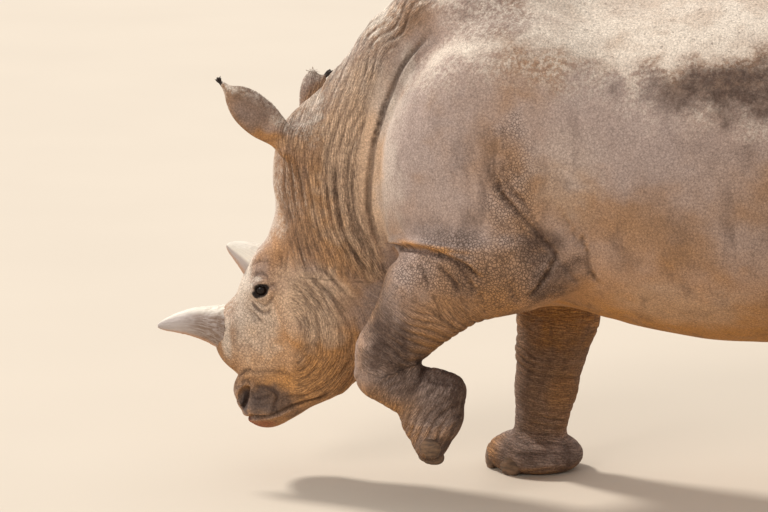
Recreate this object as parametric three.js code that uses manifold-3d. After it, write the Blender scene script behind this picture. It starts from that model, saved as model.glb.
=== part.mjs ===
/**
 * White rhinoceros, life size, as a still museum model.
 *
 * It walks with its head low and its left forefoot raised. Millimetres, +Z up. The animal faces -X
 * and its left side is -Y. All flesh is one field of blended shapes, laid out from the standing
 * forefoot: the field is netted at the size of detail that each part needs, and parted into the
 * named nodes with thin cuts. Horns, eyes and toenails are solids of their own.
 */
import * as THREE from "three";
import { mergeVertices } from "three/addons/utils/BufferGeometryUtils.js";
import Module from "manifold-3d";

// Driving dimensions, millimetres.
const FLOOR = -28; // height of the floor, measured from the middle of the forefoot's pad
const PARTING = 0.4; // width of the thin cut between two nodes
const EYEBALL_RADIUS = 24;
const EYE = [-853, 138, 637];
const LID_OPENING = [28, 28, 24];
const LIDS = [-1, 36, 0]; // the middle of the opening between the lids, from the middle of the eye
const CREASE_BLEND = 24; // how sharply the neck meets the shoulder, low down
const CREST_BLEND = 150; // and up at the crest of the neck
const CREASE_TOP = 1250;
const CREST_LEVEL = 1600;
const RAISED_LEG_BLEND = 60; // how sharply the raised foreleg meets the trunk

// The size of one facet, by node. An ear has one for each of its axes: length, wall and width.
const DETAIL = { trunk: 142, neck: 96, head: 60, leg: 80, tail: 40, ear: [32, 11, 19] };

const OUTSIDE = 300; // value of the field where there is no flesh near
const CUTTER = 5000; // side of a box that stands for half of space
const LONGEST_REACH = 260; // no surface is further than this from where reachAlong starts

const HORNS = {
  horn_front: { base: [-995, 0, 462], tip: [-1250, 0, 466], bow: 20, wide: 82, deep: 76, collar: 1.14 },
  horn_rear: { base: [-862, 0, 662], tip: [-1006, 0, 756], bow: 10, wide: 62, deep: 84, collar: 1.12 },
};
const HORN_RINGS = 8;
const HORN_SIDES = 14;
const HORN_TAPER = 0.34; // share of the thickness lost evenly along the horn
const HORN_POINT = { sharp: 0.985, late: 1.35, height: 6 }; // how the rest closes in on the tip
const COLLAR_SHARE = 0.3; // how far up the horn its collar of fibres fades out

// The middle of each foot's toes, and how far the foot is turned down from level.
const FEET = {
  front_left: { at: [-215, -323, 235], turn: 74, size: 0.86 },
  front_right: { at: [0, 268, 6], turn: 0, size: 1 },
  hind_left: { at: [1450, -286, 4], turn: 0, size: 0.92 },
  hind_right: { at: [1825, 286, 4], turn: 0, size: 0.92 },
};
const NAILS = {
  inner: { angle: -62, radii: [26, 44, 42] },
  middle: { angle: 0, radii: [28, 66, 52] },
  outer: { angle: 62, radii: [26, 44, 42] },
};
const NAIL_RISE = 8; // how far a nail stands out of the foot

const COLOURS = {
  hide: 0x96806c,
  ear: 0x7f6a5c,
  horn: 0xa39a8e,
  eye: 0x1a1210,
  nail: 0x6f6253,
};

const { clamp, degToRad, lerp, smoothstep } = THREE.MathUtils;
const ACROSS = new THREE.Vector3(0, 1, 0);

/** Joins two distances, rounded over a width of k. */
function smoothUnion(a, b, k) {
  const h = clamp(0.5 + (0.5 * (b - a)) / k, 0, 1);
  return b + (a - b) * h - k * h * (1 - h);
}

/** Takes the second distance out of the first. */
function smoothCarve(a, b, k) {
  return -smoothUnion(-a, b, k);
}

/** A turned ellipsoid. Pitch lifts its front axis, yaw swings it and roll turns it about itself. */
class Blob {
  constructor(at, radii, { pitch = 0, yaw = 0, roll = 0, blend = 60, both = false } = {}) {
    Object.assign(this, { at, radii, blend, both });
    const [p, q, r] = [pitch, yaw, roll].map(degToRad);
    const ahead = new THREE.Vector3(Math.cos(p) * Math.cos(q), Math.cos(p) * Math.sin(q), Math.sin(p));
    const side = new THREE.Vector3(-Math.sin(q), Math.cos(q), 0);
    const up = new THREE.Vector3().crossVectors(ahead, side);
    const turned = side.clone().multiplyScalar(Math.cos(r)).addScaledVector(up, Math.sin(r));
    const lifted = up.multiplyScalar(Math.cos(r)).addScaledVector(side, -Math.sin(r));
    this.axes = [ahead, turned, lifted];
  }

  distance(x, y, z) {
    const [dx, dy, dz] = [x - this.at[0], y - this.at[1], z - this.at[2]];
    let near = 1e-12;
    let steep = 1e-18;
    for (let i = 0; i < 3; i++) {
      const q = (dx * this.axes[i].x + dy * this.axes[i].y + dz * this.axes[i].z) / this.radii[i];
      near += q * q;
      steep += (q / this.radii[i]) ** 2;
    }
    const level = Math.sqrt(near);
    return (level * (level - 1)) / Math.sqrt(steep);
  }

  /** The same shape as a closed solid, for cutting. */
  geometry(grow = 0, detail = 2) {
    const matrix = new THREE.Matrix4().makeBasis(...this.axes).setPosition(...this.at);
    const ball = new THREE.IcosahedronGeometry(1, detail).scale(...this.radii.map((r) => r + grow));
    return ball.applyMatrix4(matrix);
  }
}

/** Tapered rounds end to end, as [x, y, z, radius], wider across the body where flat is over 1. */
class Limb {
  constructor(points, { flat = 1, blend = 60, both = false, knit = 30 } = {}) {
    Object.assign(this, { points, flat, blend, both, knit });
  }

  distance(x, y, z) {
    let best = OUTSIDE;
    for (let i = 1; i < this.points.length; i++) {
      const [a, b] = [this.points[i - 1], this.points[i]];
      const along = [b[0] - a[0], b[1] - a[1], b[2] - a[2]];
      const from = [x - a[0], y - a[1], z - a[2]];
      const length2 = along[0] ** 2 + along[1] ** 2 + along[2] ** 2;
      const t = clamp((from[0] * along[0] + from[1] * along[1] + from[2] * along[2]) / length2, 0, 1);
      const [dx, dy, dz] = from.map((v, axis) => v - t * along[axis]);
      const gap = Math.hypot(dx, dy / this.flat, dz) - lerp(a[3], b[3], t);
      const scaled = gap * Math.min(1, this.flat);
      best = i === 1 ? scaled : smoothUnion(best, scaled, this.knit);
    }
    return best;
  }
}

const blob = (at, radii, options) => new Blob(at, radii, options);
const limb = (points, options) => new Limb(points, options);

const TRUNK = {
  ribCage: blob([600, 0, 1080], [950, 500, 530]),
  belly: blob([880, 0, 950], [720, 500, 405], { blend: 160 }),
  withers: blob([0, 0, 1320], [440, 290, 440], { pitch: -6, blend: 180 }),
  loins: blob([760, 0, 1240], [850, 370, 400], { blend: 200 }),
  rump: blob([1470, 0, 1220], [500, 390, 470], { blend: 200 }),
  buttocks: blob([1690, 0, 1060], [310, 370, 420], { blend: 160 }),
  brisket: blob([-130, 0, 850], [290, 290, 290], { blend: 160 }),
  shoulderBlades: blob([10, 285, 1130], [370, 200, 450], { pitch: -14, both: true, blend: 110 }),
  shoulderFronts: blob([-170, 215, 1080], [262, 165, 380], { pitch: -12, both: true, blend: 60 }),
};
const NECK = {
  middle: blob([-400, 0, 1080], [255, 225, 470], { pitch: -17, blend: 120 }),
  throat: blob([-550, 0, 900], [215, 205, 380], { pitch: -10, blend: 120 }),
  crest: limb(
    [[-690, 0, 1140, 85], [-545, 0, 1270, 110], [-400, 0, 1410, 150], [-210, 0, 1530, 185],
      [0, 0, 1560, 195]],
    { blend: 120 },
  ),
  dewlap: blob([-480, 0, 640], [170, 160, 220], { blend: 120 }),
};
const HEAD = {
  cranium: blob([-680, 0, 1005], [164, 145, 225], { blend: 90 }),
  earRoots: blob([-665, 95, 1095], [100, 68, 90], { both: true, blend: 50 }),
  midFace: blob([-690, 0, 700], [190, 158, 215], { blend: 80 }),
  brows: blob([-838, 100, 680], [66, 56, 92], { both: true, blend: 50 }),
  rearHornBoss: blob([-868, 0, 650], [62, 90, 105], { blend: 50 }),
  noseBridge: blob([-880, 0, 520], [100, 112, 150], { blend: 70 }),
  frontHornBoss: blob([-962, 0, 448], [88, 102, 118], { blend: 45 }),
  cheeks: blob([-635, 85, 530], [175, 98, 200], { both: true, blend: 90 }),
  muzzle: blob([-838, 0, 335], [118, 128, 125], { blend: 60 }),
  upperLip: blob([-852, 0, 236], [108, 148, 74], { blend: 45 }),
  jaws: limb([[-860, 45, 218, 62], [-640, 65, 350, 85]], { both: true, blend: 50 }),
  lowerLip: blob([-862, 0, 200], [74, 104, 58], { blend: 24 }),
  nostrilRims: blob([-918, 88, 280], [46, 42, 60], { both: true, blend: 30 }),
  eyelids: blob([-846, 122, 640], [52, 46, 46], { both: true, blend: 26 }),
};
const LEFT_EAR_TURN = { pitch: 42.3, yaw: 198.5, roll: 19 };
const RIGHT_EAR_TURN = { pitch: 75, yaw: 125.5, roll: 72 };
const EARS = {
  leftRoot: limb(
    [[-680, -110, 1068, 60], [-745, -148, 1130, 46], [-800, -165, 1177, 40]],
    { flat: 0.9, blend: 30 },
  ),
  leftLeaf: blob([-857, -182, 1229], [125, 36, 64], { ...LEFT_EAR_TURN, blend: 20 }),
  leftTip: limb([[-925, -206, 1292, 24], [-966, -204, 1331, 7]], { blend: 14 }),
  rightRoot: limb(
    [[-690, 110, 1080, 60], [-712, 140, 1140, 48], [-722, 155, 1180, 42]],
    { flat: 0.9, blend: 30 },
  ),
  rightLeaf: blob([-742, 180, 1201], [126, 34, 55], { ...RIGHT_EAR_TURN, blend: 20 }),
  rightTip: limb([[-735, 203, 1272, 24], [-716, 212, 1307, 7]], { blend: 14 }),
};
const EAR_CUPS = {
  left: blob([-883, -158, 1214], [106, 38, 52], { ...LEFT_EAR_TURN, blend: 8 }),
  right: blob([-758, 206, 1208], [108, 34, 44], { ...RIGHT_EAR_TURN, blend: 8 }),
};
const RAISED_LEG = {
  upperArm: blob([20, -330, 900], [300, 155, 260], { pitch: 20, blend: 60 }),
  forearm: limb(
    [[-40, -345, 830, 195], [-240, -345, 690, 150], [-384, -335, 490, 103]],
    { flat: 0.85, blend: 50 },
  ),
  wrist: limb(
    [[-385, -335, 490, 103], [-402, -332, 420, 88], [-330, -328, 372, 80], [-270, -325, 348, 77]],
    { blend: 20 },
  ),
  heel: blob([-178, -325, 366], [50, 92, 49], { blend: 20 }),
  foot: limb(
    [[-236, -323, 330, 104], [-239, -323, 270, 96], [-241, -323, 200, 60]],
    { flat: 1.15, blend: 24 },
  ),
  toes: blob([-241, -323, 190], [48, 104, 62], { blend: 24 }),
};
const STANDING_LEGS = {
  rightUpperArm: blob([60, 330, 850], [290, 150, 300], { pitch: -5, blend: 90 }),
  rightForeleg: limb(
    [[90, 300, 700, 185], [74, 290, 495, 134], [52, 285, 380, 116], [38, 280, 260, 102],
      [20, 272, 120, 90]],
    { flat: 0.95, blend: 70 },
  ),
  rightForefoot: blob([0, 268, 25], [165, 150, 82], { blend: 24 }),
  leftThigh: limb([[1620, -190, 1150, 270], [1380, -290, 800, 215]], { flat: 0.8, blend: 140 }),
  leftHindLeg: limb(
    [[1370, -300, 790, 205], [1530, -302, 590, 140], [1600, -300, 450, 108], [1560, -292, 260, 94],
      [1500, -288, 110, 94]],
    { flat: 0.9, blend: 90 },
  ),
  leftHindFoot: blob([1450, -286, 24], [152, 140, 76], { blend: 30 }),
  rightThigh: limb([[1620, 190, 1150, 270], [1530, 290, 800, 225]], { flat: 0.8, blend: 140 }),
  rightHindLeg: limb(
    [[1520, 300, 780, 210], [1760, 302, 590, 146], [1880, 300, 460, 110], [1900, 292, 260, 94],
      [1870, 288, 110, 94]],
    { flat: 0.9, blend: 90 },
  ),
  rightHindFoot: blob([1825, 286, 24], [152, 140, 76], { blend: 30 }),
};
const TAIL = {
  dock: limb(
    [[1850, 0, 1380, 110], [2010, 0, 1290, 62], [2072, 0, 1120, 42], [2082, 0, 920, 34],
      [2078, 0, 770, 28]],
    { blend: 50 },
  ),
};
const NOSTRIL = { at: [-924, 122, 256], radii: [22, 30, 46], pitch: -16, yaw: 25 };
const MOUTH_LINE = [[-952, 172], [-882, 187], [-807, 196], [-745, 224], [-690, 262], [-645, 300]];
const MOUTH_WIDTH = 9;
const MOUTH_STEPS = 30;

/** The blended field of a group of shapes. */
function groupDistance(shapes, x, y, z) {
  let f = OUTSIDE;
  for (const shape of Object.values(shapes)) {
    f = smoothUnion(f, shape.distance(x, y, z), shape.blend);
    if (shape.both) f = smoothUnion(f, shape.distance(x, -y, z), shape.blend);
  }
  return f;
}

/** How far a point lies outside the flesh: below 0 is inside. */
function fleshDistance(x, y, z) {
  const standing = groupDistance({ ...TRUNK, ...STANDING_LEGS, ...TAIL }, x, y, z);
  const body = smoothUnion(standing, groupDistance(RAISED_LEG, x, y, z), RAISED_LEG_BLEND);
  const fore = groupDistance({ ...NECK, ...HEAD, ...EARS }, x, y, z);
  const rise = clamp((z - CREASE_TOP) / (CREST_LEVEL - CREASE_TOP), 0, 1);
  let f = smoothUnion(body, fore, lerp(CREASE_BLEND, CREST_BLEND, rise));
  for (const cup of Object.values(EAR_CUPS)) {
    f = smoothCarve(f, cup.distance(x, y, z), cup.blend);
  }
  return f;
}

/** The corners of a net's cell, its twelve edges as pairs of corners, and its six faces as rings. */
const CORNERS = [0, 1, 2, 3, 4, 5, 6, 7].map((n) => [n & 1, (n >> 1) & 1, (n >> 2) & 1]);
const AXES = [0, 1, 2];
const EDGES = CORNERS.flatMap((corner, n) =>
  AXES.filter((axis) => !corner[axis]).map((axis) => [n, n + (1 << axis)]),
);
const edgeBetween = (a, b) => {
  return EDGES.findIndex(([m, n]) => m === Math.min(a, b) && n === Math.max(a, b));
};
const FACES = AXES.flatMap((axis) =>
  [0, 1].map((level) => {
    const [u, v] = [(axis + 1) % 3, (axis + 2) % 3];
    const ring = [[0, 0], [1, 0], [1, 1], [0, 1]];
    const corners = ring.map(([m, n]) => (level << axis) | (m << u) | (n << v));
    return { corners, edges: corners.map((corner, n) => edgeBetween(corner, corners[(n + 1) % 4])) };
  }),
);

/** Labels the edges that the surface crosses in one cell by the sheet they belong to, and others -1. */
function sheetsOf(inside) {
  const label = EDGES.map(([a, b], n) => (inside[a] === inside[b] ? -1 : n));
  const join = (m, n) => {
    const [from, to] = [label[m], label[n]];
    label.forEach((value, edge) => {
      if (value === from) label[edge] = to;
    });
  };
  for (const { corners, edges } of FACES) {
    const crossed = edges.filter((edge) => label[edge] >= 0);
    if (crossed.length === 2) join(crossed[0], crossed[1]);
    if (crossed.length < 4) continue;
    corners.forEach((corner, n) => {
      if (inside[corner]) join(edges[n], edges[(n + 3) % 4]);
    });
  }
  return label;
}

/**
 * Nets what lies inside both a field and a turned box: one vertex for each sheet of the surface in each
 * cell, pulled onto the surface, and one quad for each edge of the lattice that the surface crosses.
 */
function netField(field, frame, size, cell) {
  const start = size.map((length, axis) => -length / 2 - 1.5 * cell[axis]);
  const counts = size.map((length, axis) => Math.ceil(length / cell[axis]) + 4);
  const place = (...steps) => {
    const local = steps.map((step, axis) => start[axis] + step * cell[axis]);
    return new THREE.Vector3(...local).applyMatrix4(frame);
  };
  const inverse = frame.clone().invert();
  const closed = (p) => {
    const q = p.clone().applyMatrix4(inverse).toArray();
    return Math.max(field(p.x, p.y, p.z), ...q.map((v, axis) => Math.abs(v) - size[axis] / 2));
  };
  const index = (i, j, k) => (i * counts[1] + j) * counts[2] + k;
  const values = new Float64Array(counts[0] * counts[1] * counts[2]);
  for (let i = 0; i < counts[0]; i++) {
    for (let j = 0; j < counts[1]; j++) {
      for (let k = 0; k < counts[2]; k++) {
        values[index(i, j, k)] = closed(place(i, j, k));
      }
    }
  }

  const vertexOf = new Int32Array(values.length * EDGES.length).fill(-1);
  const points = [];
  for (let i = 0; i < counts[0] - 1; i++) {
    for (let j = 0; j < counts[1] - 1; j++) {
      for (let k = 0; k < counts[2] - 1; k++) {
        const corner = CORNERS.map(([a, b, c]) => values[index(i + a, j + b, k + c)]);
        const label = sheetsOf(corner.map((value) => value < 0));
        for (const sheet of new Set(label.filter((value) => value >= 0))) {
          const crossed = EDGES.filter((_, edge) => label[edge] === sheet);
          const middle = AXES.map((axis) => {
            const crossings = crossed.map(([a, b]) => {
              return lerp(CORNERS[a][axis], CORNERS[b][axis], corner[a] / (corner[a] - corner[b]));
            });
            return crossings.reduce((sum, value) => sum + value, 0) / crossed.length;
          });
          label.forEach((value, edge) => {
            if (value === sheet) vertexOf[index(i, j, k) * EDGES.length + edge] = points.length;
          });
          const point = place(i + middle[0], j + middle[1], k + middle[2]);
          points.push(settle(closed, point, Math.min(...cell) / 2));
        }
      }
    }
  }

  const faces = [];
  for (let i = 1; i < counts[0] - 1; i++) {
    for (let j = 1; j < counts[1] - 1; j++) {
      for (let k = 1; k < counts[2] - 1; k++) {
        const here = values[index(i, j, k)] < 0;
        for (const axis of AXES) {
          const next = AXES.map((d) => (d === axis ? 1 : 0));
          if (here === values[index(i + next[0], j + next[1], k + next[2])] < 0) continue;
          const [u, v] = [(axis + 1) % 3, (axis + 2) % 3];
          const around = [[1, 1], [0, 1], [0, 0], [1, 0]].map(([m, n]) => {
            const back = AXES.map((d) => (d === u ? m : 0) + (d === v ? n : 0));
            const start = (m << u) | (n << v);
            const edge = edgeBetween(start, start | (1 << axis));
            return vertexOf[index(i - back[0], j - back[1], k - back[2]) * EDGES.length + edge];
          });
          const ring = here ? around : around.reverse();
          const across = [0, 1].map((n) => points[ring[n]].distanceTo(points[ring[n + 2]]));
          const first = across[0] < across[1] ? 0 : 1;
          faces.push(ring[first], ring[first + 1], ring[first + 2]);
          faces.push(ring[first], ring[first + 2], ring[(first + 3) % 4]);
        }
      }
    }
  }
  return indexed(points, faces);
}

/** A geometry from its points and its triangles' corners. */
function indexed(points, faces) {
  return new THREE.BufferGeometry().setFromPoints(points).setIndex(faces);
}

/** Moves a point onto the surface of a field, by no more than the given step at a time. */
function settle(field, point, step) {
  const h = 1;
  for (let round = 0; round < 4; round++) {
    const value = field(point);
    const slope = new THREE.Vector3(
      field(point.clone().setX(point.x + h)) - value,
      field(point.clone().setY(point.y + h)) - value,
      field(point.clone().setZ(point.z + h)) - value,
    );
    const steep = Math.max(slope.lengthSq(), 0.05);
    point.addScaledVector(slope.multiplyScalar(-value / steep).clampLength(0, step), 1);
  }
  return point;
}

const wasm = await Module();
wasm.setup();

/** A geometry with nothing but its points, each of them once. */
function merged(geometry) {
  const bare = geometry.clone();
  bare.deleteAttribute("normal");
  bare.deleteAttribute("uv");
  return mergeVertices(bare, 1e-4);
}

/** A closed geometry as a solid that can be cut and joined. */
function solid(geometry) {
  const { attributes, index } = merged(geometry);
  return new wasm.Manifold(
    new wasm.Mesh({
      numProp: 3,
      vertProperties: new Float32Array(attributes.position.array),
      triVerts: new Uint32Array(index.array),
    }),
  );
}

/** The place of a box: its middle, and how far its front is tipped up. */
function boxFrame(at, tip = 0) {
  return new THREE.Matrix4().makeRotationY(-degToRad(tip)).setPosition(...at);
}

/** A box as a cutter, grown on every side. */
function boxSolid(frame, size, grow = 0) {
  return solid(new THREE.BoxGeometry(...size.map((s) => s + 2 * grow)).applyMatrix4(frame));
}

/** Half of space: all that lies ahead of a point, along a direction tipped up from -X. */
function ahead(at, tip, grow = 0) {
  const direction = new THREE.Vector3(-Math.cos(degToRad(tip)), 0, Math.sin(degToRad(tip)));
  const middle = new THREE.Vector3(...at).addScaledVector(direction, CUTTER / 2);
  return boxSolid(boxFrame(middle.toArray(), -tip), [CUTTER, CUTTER, CUTTER], grow);
}

/** The flesh between two corners of an upright block. */
function netBlock(low, high, cell) {
  const middle = low.map((v, axis) => (v + high[axis]) / 2);
  const size = low.map((v, axis) => high[axis] - v);
  return solid(netField(fleshDistance, boxFrame(middle), size, [cell, cell, cell]));
}

/** A horn: rings that narrow along a bowed line, with a collar of loose fibres at the foot. */
function hornGeometry({ base, tip, bow, wide, deep, collar }) {
  const [rings, sides] = [HORN_RINGS, HORN_SIDES];
  const [from, to] = [new THREE.Vector3(...base), new THREE.Vector3(...tip)];
  const along = to.clone().sub(from).normalize();
  const up = new THREE.Vector3().crossVectors(along, ACROSS).negate();
  const points = [];
  for (let ring = 0; ring < rings; ring++) {
    const t = ring / (rings - 1);
    const middle = from.clone().lerp(to, t).addScaledVector(up, bow * Math.sin(Math.PI * t));
    const closing = Math.sqrt(1 - HORN_POINT.sharp * t ** HORN_POINT.late);
    const narrow = closing * (1 - HORN_TAPER * t) * lerp(collar, 1, smoothstep(t, 0, COLLAR_SHARE));
    for (let n = 0; n < sides; n++) {
      const angle = (2 * Math.PI * n) / sides;
      const point = middle.clone().addScaledVector(ACROSS, wide * narrow * Math.cos(angle));
      points.push(point.addScaledVector(up, deep * narrow * Math.sin(angle)));
    }
  }
  points.push(from, to.clone().addScaledVector(along, HORN_POINT.height));
  const [foot, point] = [rings * sides, rings * sides + 1];
  const faces = [];
  for (let n = 0; n < sides; n++) {
    const m = (n + 1) % sides;
    faces.push(foot, n, m);
    faces.push(point, (rings - 1) * sides + m, (rings - 1) * sides + n);
    for (let ring = 0; ring < rings - 1; ring++) {
      const [a, b] = [ring * sides + n, ring * sides + m];
      faces.push(a, b + sides, b, a, a + sides, b + sides);
    }
  }
  return indexed(points, faces);
}

/** How far the flesh reaches from a point inside it, along a direction. */
function reachAlong(from, direction) {
  let [near, far] = [0, LONGEST_REACH];
  while (far - near > 0.5) {
    const middle = (near + far) / 2;
    const p = new THREE.Vector3(...from).addScaledVector(direction, middle);
    if (fleshDistance(p.x, p.y, p.z) < 0) near = middle;
    else far = middle;
  }
  return near;
}

/** The line where the lips meet, round the front of the muzzle from corner to corner, as a thin tube. */
function mouthGeometry() {
  const left = MOUTH_LINE.map(([x, z]) => new THREE.Vector3(x, -reachAlong([x, 0, z], ACROSS), z));
  const right = left.map((p) => new THREE.Vector3(p.x, -p.y, p.z)).reverse();
  const path = new THREE.CatmullRomCurve3([...right, ...left]);
  const section = new THREE.Shape().absellipse(0, 0, MOUTH_WIDTH, MOUTH_WIDTH, 0, 2 * Math.PI);
  return new THREE.ExtrudeGeometry(section, { steps: MOUTH_STEPS, curveSegments: 3, extrudePath: path });
}

/** The toenails of one foot, by toe. */
function nailBlobs({ at, turn, size }) {
  const tilt = -degToRad(turn);
  return Object.fromEntries(
    Object.entries(NAILS).map(([toe, { angle, radii }]) => {
      const a = degToRad(angle) * Math.sign(-at[1]);
      const out = new THREE.Vector3(-Math.cos(a), -Math.sin(a), 0);
      const along = new THREE.Vector3(Math.sin(a), -Math.cos(a), 0);
      const nail = blob(at, radii.map((r) => r * size));
      nail.axes = [out, along, new THREE.Vector3(0, 0, 1)].map((v) => v.applyAxisAngle(ACROSS, tilt));
      const rise = reachAlong(at, out) + NAIL_RISE - nail.radii[0];
      nail.at = new THREE.Vector3(...at).addScaledVector(out, rise).toArray();
      return [toe, nail];
    }),
  );
}

const model = new THREE.Group();

function addNode(name, geometry, colour, roughness = 0.9) {
  const material = new THREE.MeshStandardMaterial({ color: colour, roughness, metalness: 0 });
  const mesh = new THREE.Mesh(geometry, material);
  mesh.name = name;
  model.add(mesh);
}

function addSolid(name, body, colour, roughness) {
  const { vertProperties, triVerts } = body.getMesh();
  const geometry = new THREE.BufferGeometry();
  geometry.setAttribute("position", new THREE.BufferAttribute(vertProperties, 3));
  geometry.setIndex(new THREE.BufferAttribute(triVerts, 1));
  addNode(name, geometry, colour, roughness);
}

// Where the flesh is parted.
const FLOOR_BLOCK = boxSolid(boxFrame([500, 0, FLOOR - 500]), [CUTTER, CUTTER, 1000]);
const NECK_FOOT = [[-325, 0, 1225], 14];
const NECK_TOP = [[-515, 0, 825], -9];
const LEG_BLOCKS = {
  front_left: { at: [-190, -490, 395], size: [760, 510, 720], tip: -16 },
  front_right: { at: [60, 390, 300], size: [620, 520, 880], tip: -8 },
  hind_left: { at: [1420, -400, 300], size: [680, 560, 1000], tip: 0 },
  hind_right: { at: [1800, 400, 300], size: [560, 560, 1000], tip: 0 },
};
const TAIL_BLOCK = { at: [2130, 0, 1070], size: [200, 200, 760], tip: -6 };
const EAR_BLOCK = [360, 106, 150];
const MARGIN = 60; // how far the flesh is netted past the block that it is cut to
const EAR_FEET = { left: -85, right: -18 }; // where an ear is cut off, from the middle of its leaf
const blockSolid = ({ at, size, tip }, grow = 0) => boxSolid(boxFrame(at, tip), size, grow);

// The blocks that the flesh is netted in, as two corners.
const NETS = {
  trunk: [[-560, -620, 480], [2140, 620, 1860]],
  rear: [[1960, -76, 700], [2180, 76, 1400]],
  neck: [[-760, -420, 488], [-78, 420, 1820]],
  head: [[-1070, -270, 110], [-415, 270, 1480]],
};

// Trunk, neck and tail.
const rear = netBlock(...NETS.rear, DETAIL.tail);
let trunk = netBlock(...NETS.trunk, DETAIL.trunk).add(rear);
trunk = trunk.subtract(ahead(...NECK_FOOT, PARTING)).subtract(blockSolid(TAIL_BLOCK, PARTING));
for (const block of Object.values(LEG_BLOCKS)) trunk = trunk.subtract(blockSolid(block, PARTING));
addSolid("trunk", trunk, COLOURS.hide);

let neck = netBlock(...NETS.neck, DETAIL.neck);
neck = neck.intersect(ahead(...NECK_FOOT)).subtract(ahead(...NECK_TOP, PARTING));
neck = neck.subtract(blockSolid(LEG_BLOCKS.front_left, PARTING));
addSolid("neck", neck, COLOURS.hide);

addSolid("tail", rear.intersect(blockSolid(TAIL_BLOCK)), COLOURS.hide);

// Legs and their toenails.
for (const [name, foot] of Object.entries(FEET)) {
  const block = LEG_BLOCKS[name];
  const low = block.at.map((v, axis) => v - block.size[axis] / 2 - MARGIN);
  const high = block.at.map((v, axis) => v + block.size[axis] / 2 + MARGIN);
  const net = netBlock(low, high, DETAIL.leg);
  let leg = net.intersect(blockSolid(block)).subtract(FLOOR_BLOCK);
  for (const [toe, nail] of Object.entries(nailBlobs(foot))) {
    leg = leg.subtract(solid(nail.geometry(PARTING, 1)));
    const body = solid(nail.geometry(0, 1)).subtract(FLOOR_BLOCK);
    addSolid(`toenail_${name}_${toe}`, body, COLOURS.nail, 0.6);
  }
  addSolid(`leg_${name}`, leg, COLOURS.hide);
}

// Head, ears, eyes and horns.
let head = netBlock(...NETS.head, DETAIL.head);
head = head.intersect(ahead(...NECK_TOP)).intersect(ahead(...NECK_FOOT));
for (const [side, foot] of Object.entries(EAR_FEET)) {
  const leaf = EARS[`${side}Leaf`];
  const middle = new THREE.Vector3(...leaf.at).addScaledVector(leaf.axes[0], foot + EAR_BLOCK[0] / 2);
  const frame = new THREE.Matrix4().makeBasis(...leaf.axes).setPosition(middle);
  const ear = solid(netField(fleshDistance, frame, EAR_BLOCK.map((length) => length + MARGIN), DETAIL.ear));
  head = head.subtract(boxSolid(frame, EAR_BLOCK, PARTING));
  addSolid(`ear_${side}`, ear.intersect(boxSolid(frame, EAR_BLOCK)), COLOURS.ear);
}
for (const [name, side] of [["left", -1], ["right", 1]]) {
  const at = [EYE[0], side * EYE[1], EYE[2]];
  const ball = (grow) => blob(at, [0, 0, 0].map(() => EYEBALL_RADIUS)).geometry(grow, 2);
  const lids = blob([at[0] + LIDS[0], side * (EYE[1] + LIDS[1]), at[2] + LIDS[2]], LID_OPENING);
  const { at: hole, radii, pitch, yaw } = NOSTRIL;
  const nostril = blob([hole[0], side * hole[1], hole[2]], radii, { pitch, yaw: side * yaw });
  head = head.subtract(solid(ball(PARTING)));
  head = head.subtract(solid(lids.geometry())).subtract(solid(nostril.geometry()));
  addNode(`eye_${name}`, merged(ball(0)), COLOURS.eye, 0.15);
}
head = head.subtract(solid(mouthGeometry()));
addSolid("head", head, COLOURS.hide);
for (const [name, sizes] of Object.entries(HORNS)) {
  const along = new THREE.Vector3(...sizes.tip).sub(new THREE.Vector3(...sizes.base)).setLength(PARTING);
  const horn = solid(hornGeometry(sizes)).subtract(head).subtract(head.translate(along.toArray()));
  addSolid(name, horn, COLOURS.horn, 0.7);
}

// The origin is on the floor, in the middle of the whole animal.
const reach = new THREE.Box3().setFromObject(model);
const middle = reach.getCenter(new THREE.Vector3());
model.position.set(-middle.x, -middle.y, -reach.min.z);

export default model;
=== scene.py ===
"""The looks of a life-size white rhinoceros: one skin over its flesh, its horns, eyes, nails and hair.

The flesh is the same field of blended shapes as the solids, laid out in millimetres from the standing
forefoot: the animal faces -X and its left side is -Y. Pieces are moved to the frame's place, in metres.
"""

from __future__ import annotations

import logging
import math
from concurrent.futures import ThreadPoolExecutor
from dataclasses import dataclass
from enum import Enum
from functools import cache, cached_property
from typing import Callable, Sequence

import bpy
import numpy as np
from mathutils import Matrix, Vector


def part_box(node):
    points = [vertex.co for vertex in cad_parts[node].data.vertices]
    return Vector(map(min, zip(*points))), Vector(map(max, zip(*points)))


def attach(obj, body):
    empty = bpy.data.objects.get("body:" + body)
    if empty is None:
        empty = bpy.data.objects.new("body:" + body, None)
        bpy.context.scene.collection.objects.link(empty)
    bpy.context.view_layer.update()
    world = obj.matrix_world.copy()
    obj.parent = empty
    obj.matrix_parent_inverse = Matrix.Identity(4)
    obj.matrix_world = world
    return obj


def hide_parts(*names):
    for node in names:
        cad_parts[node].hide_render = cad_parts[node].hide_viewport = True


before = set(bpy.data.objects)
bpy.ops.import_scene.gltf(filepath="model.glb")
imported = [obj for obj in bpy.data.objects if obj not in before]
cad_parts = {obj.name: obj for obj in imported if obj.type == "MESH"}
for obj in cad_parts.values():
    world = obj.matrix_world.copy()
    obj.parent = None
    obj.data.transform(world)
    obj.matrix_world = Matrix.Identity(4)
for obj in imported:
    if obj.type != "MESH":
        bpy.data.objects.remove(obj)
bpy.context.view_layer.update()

log = logging.getLogger("rhinoceros")

Array = np.ndarray
Point = tuple[float, float, float]
Round = tuple[float, float, float, float]
Span = tuple[float, float]
Piece = bpy.types.Object
Material = bpy.types.Material
Socket = bpy.types.NodeSocket

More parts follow.
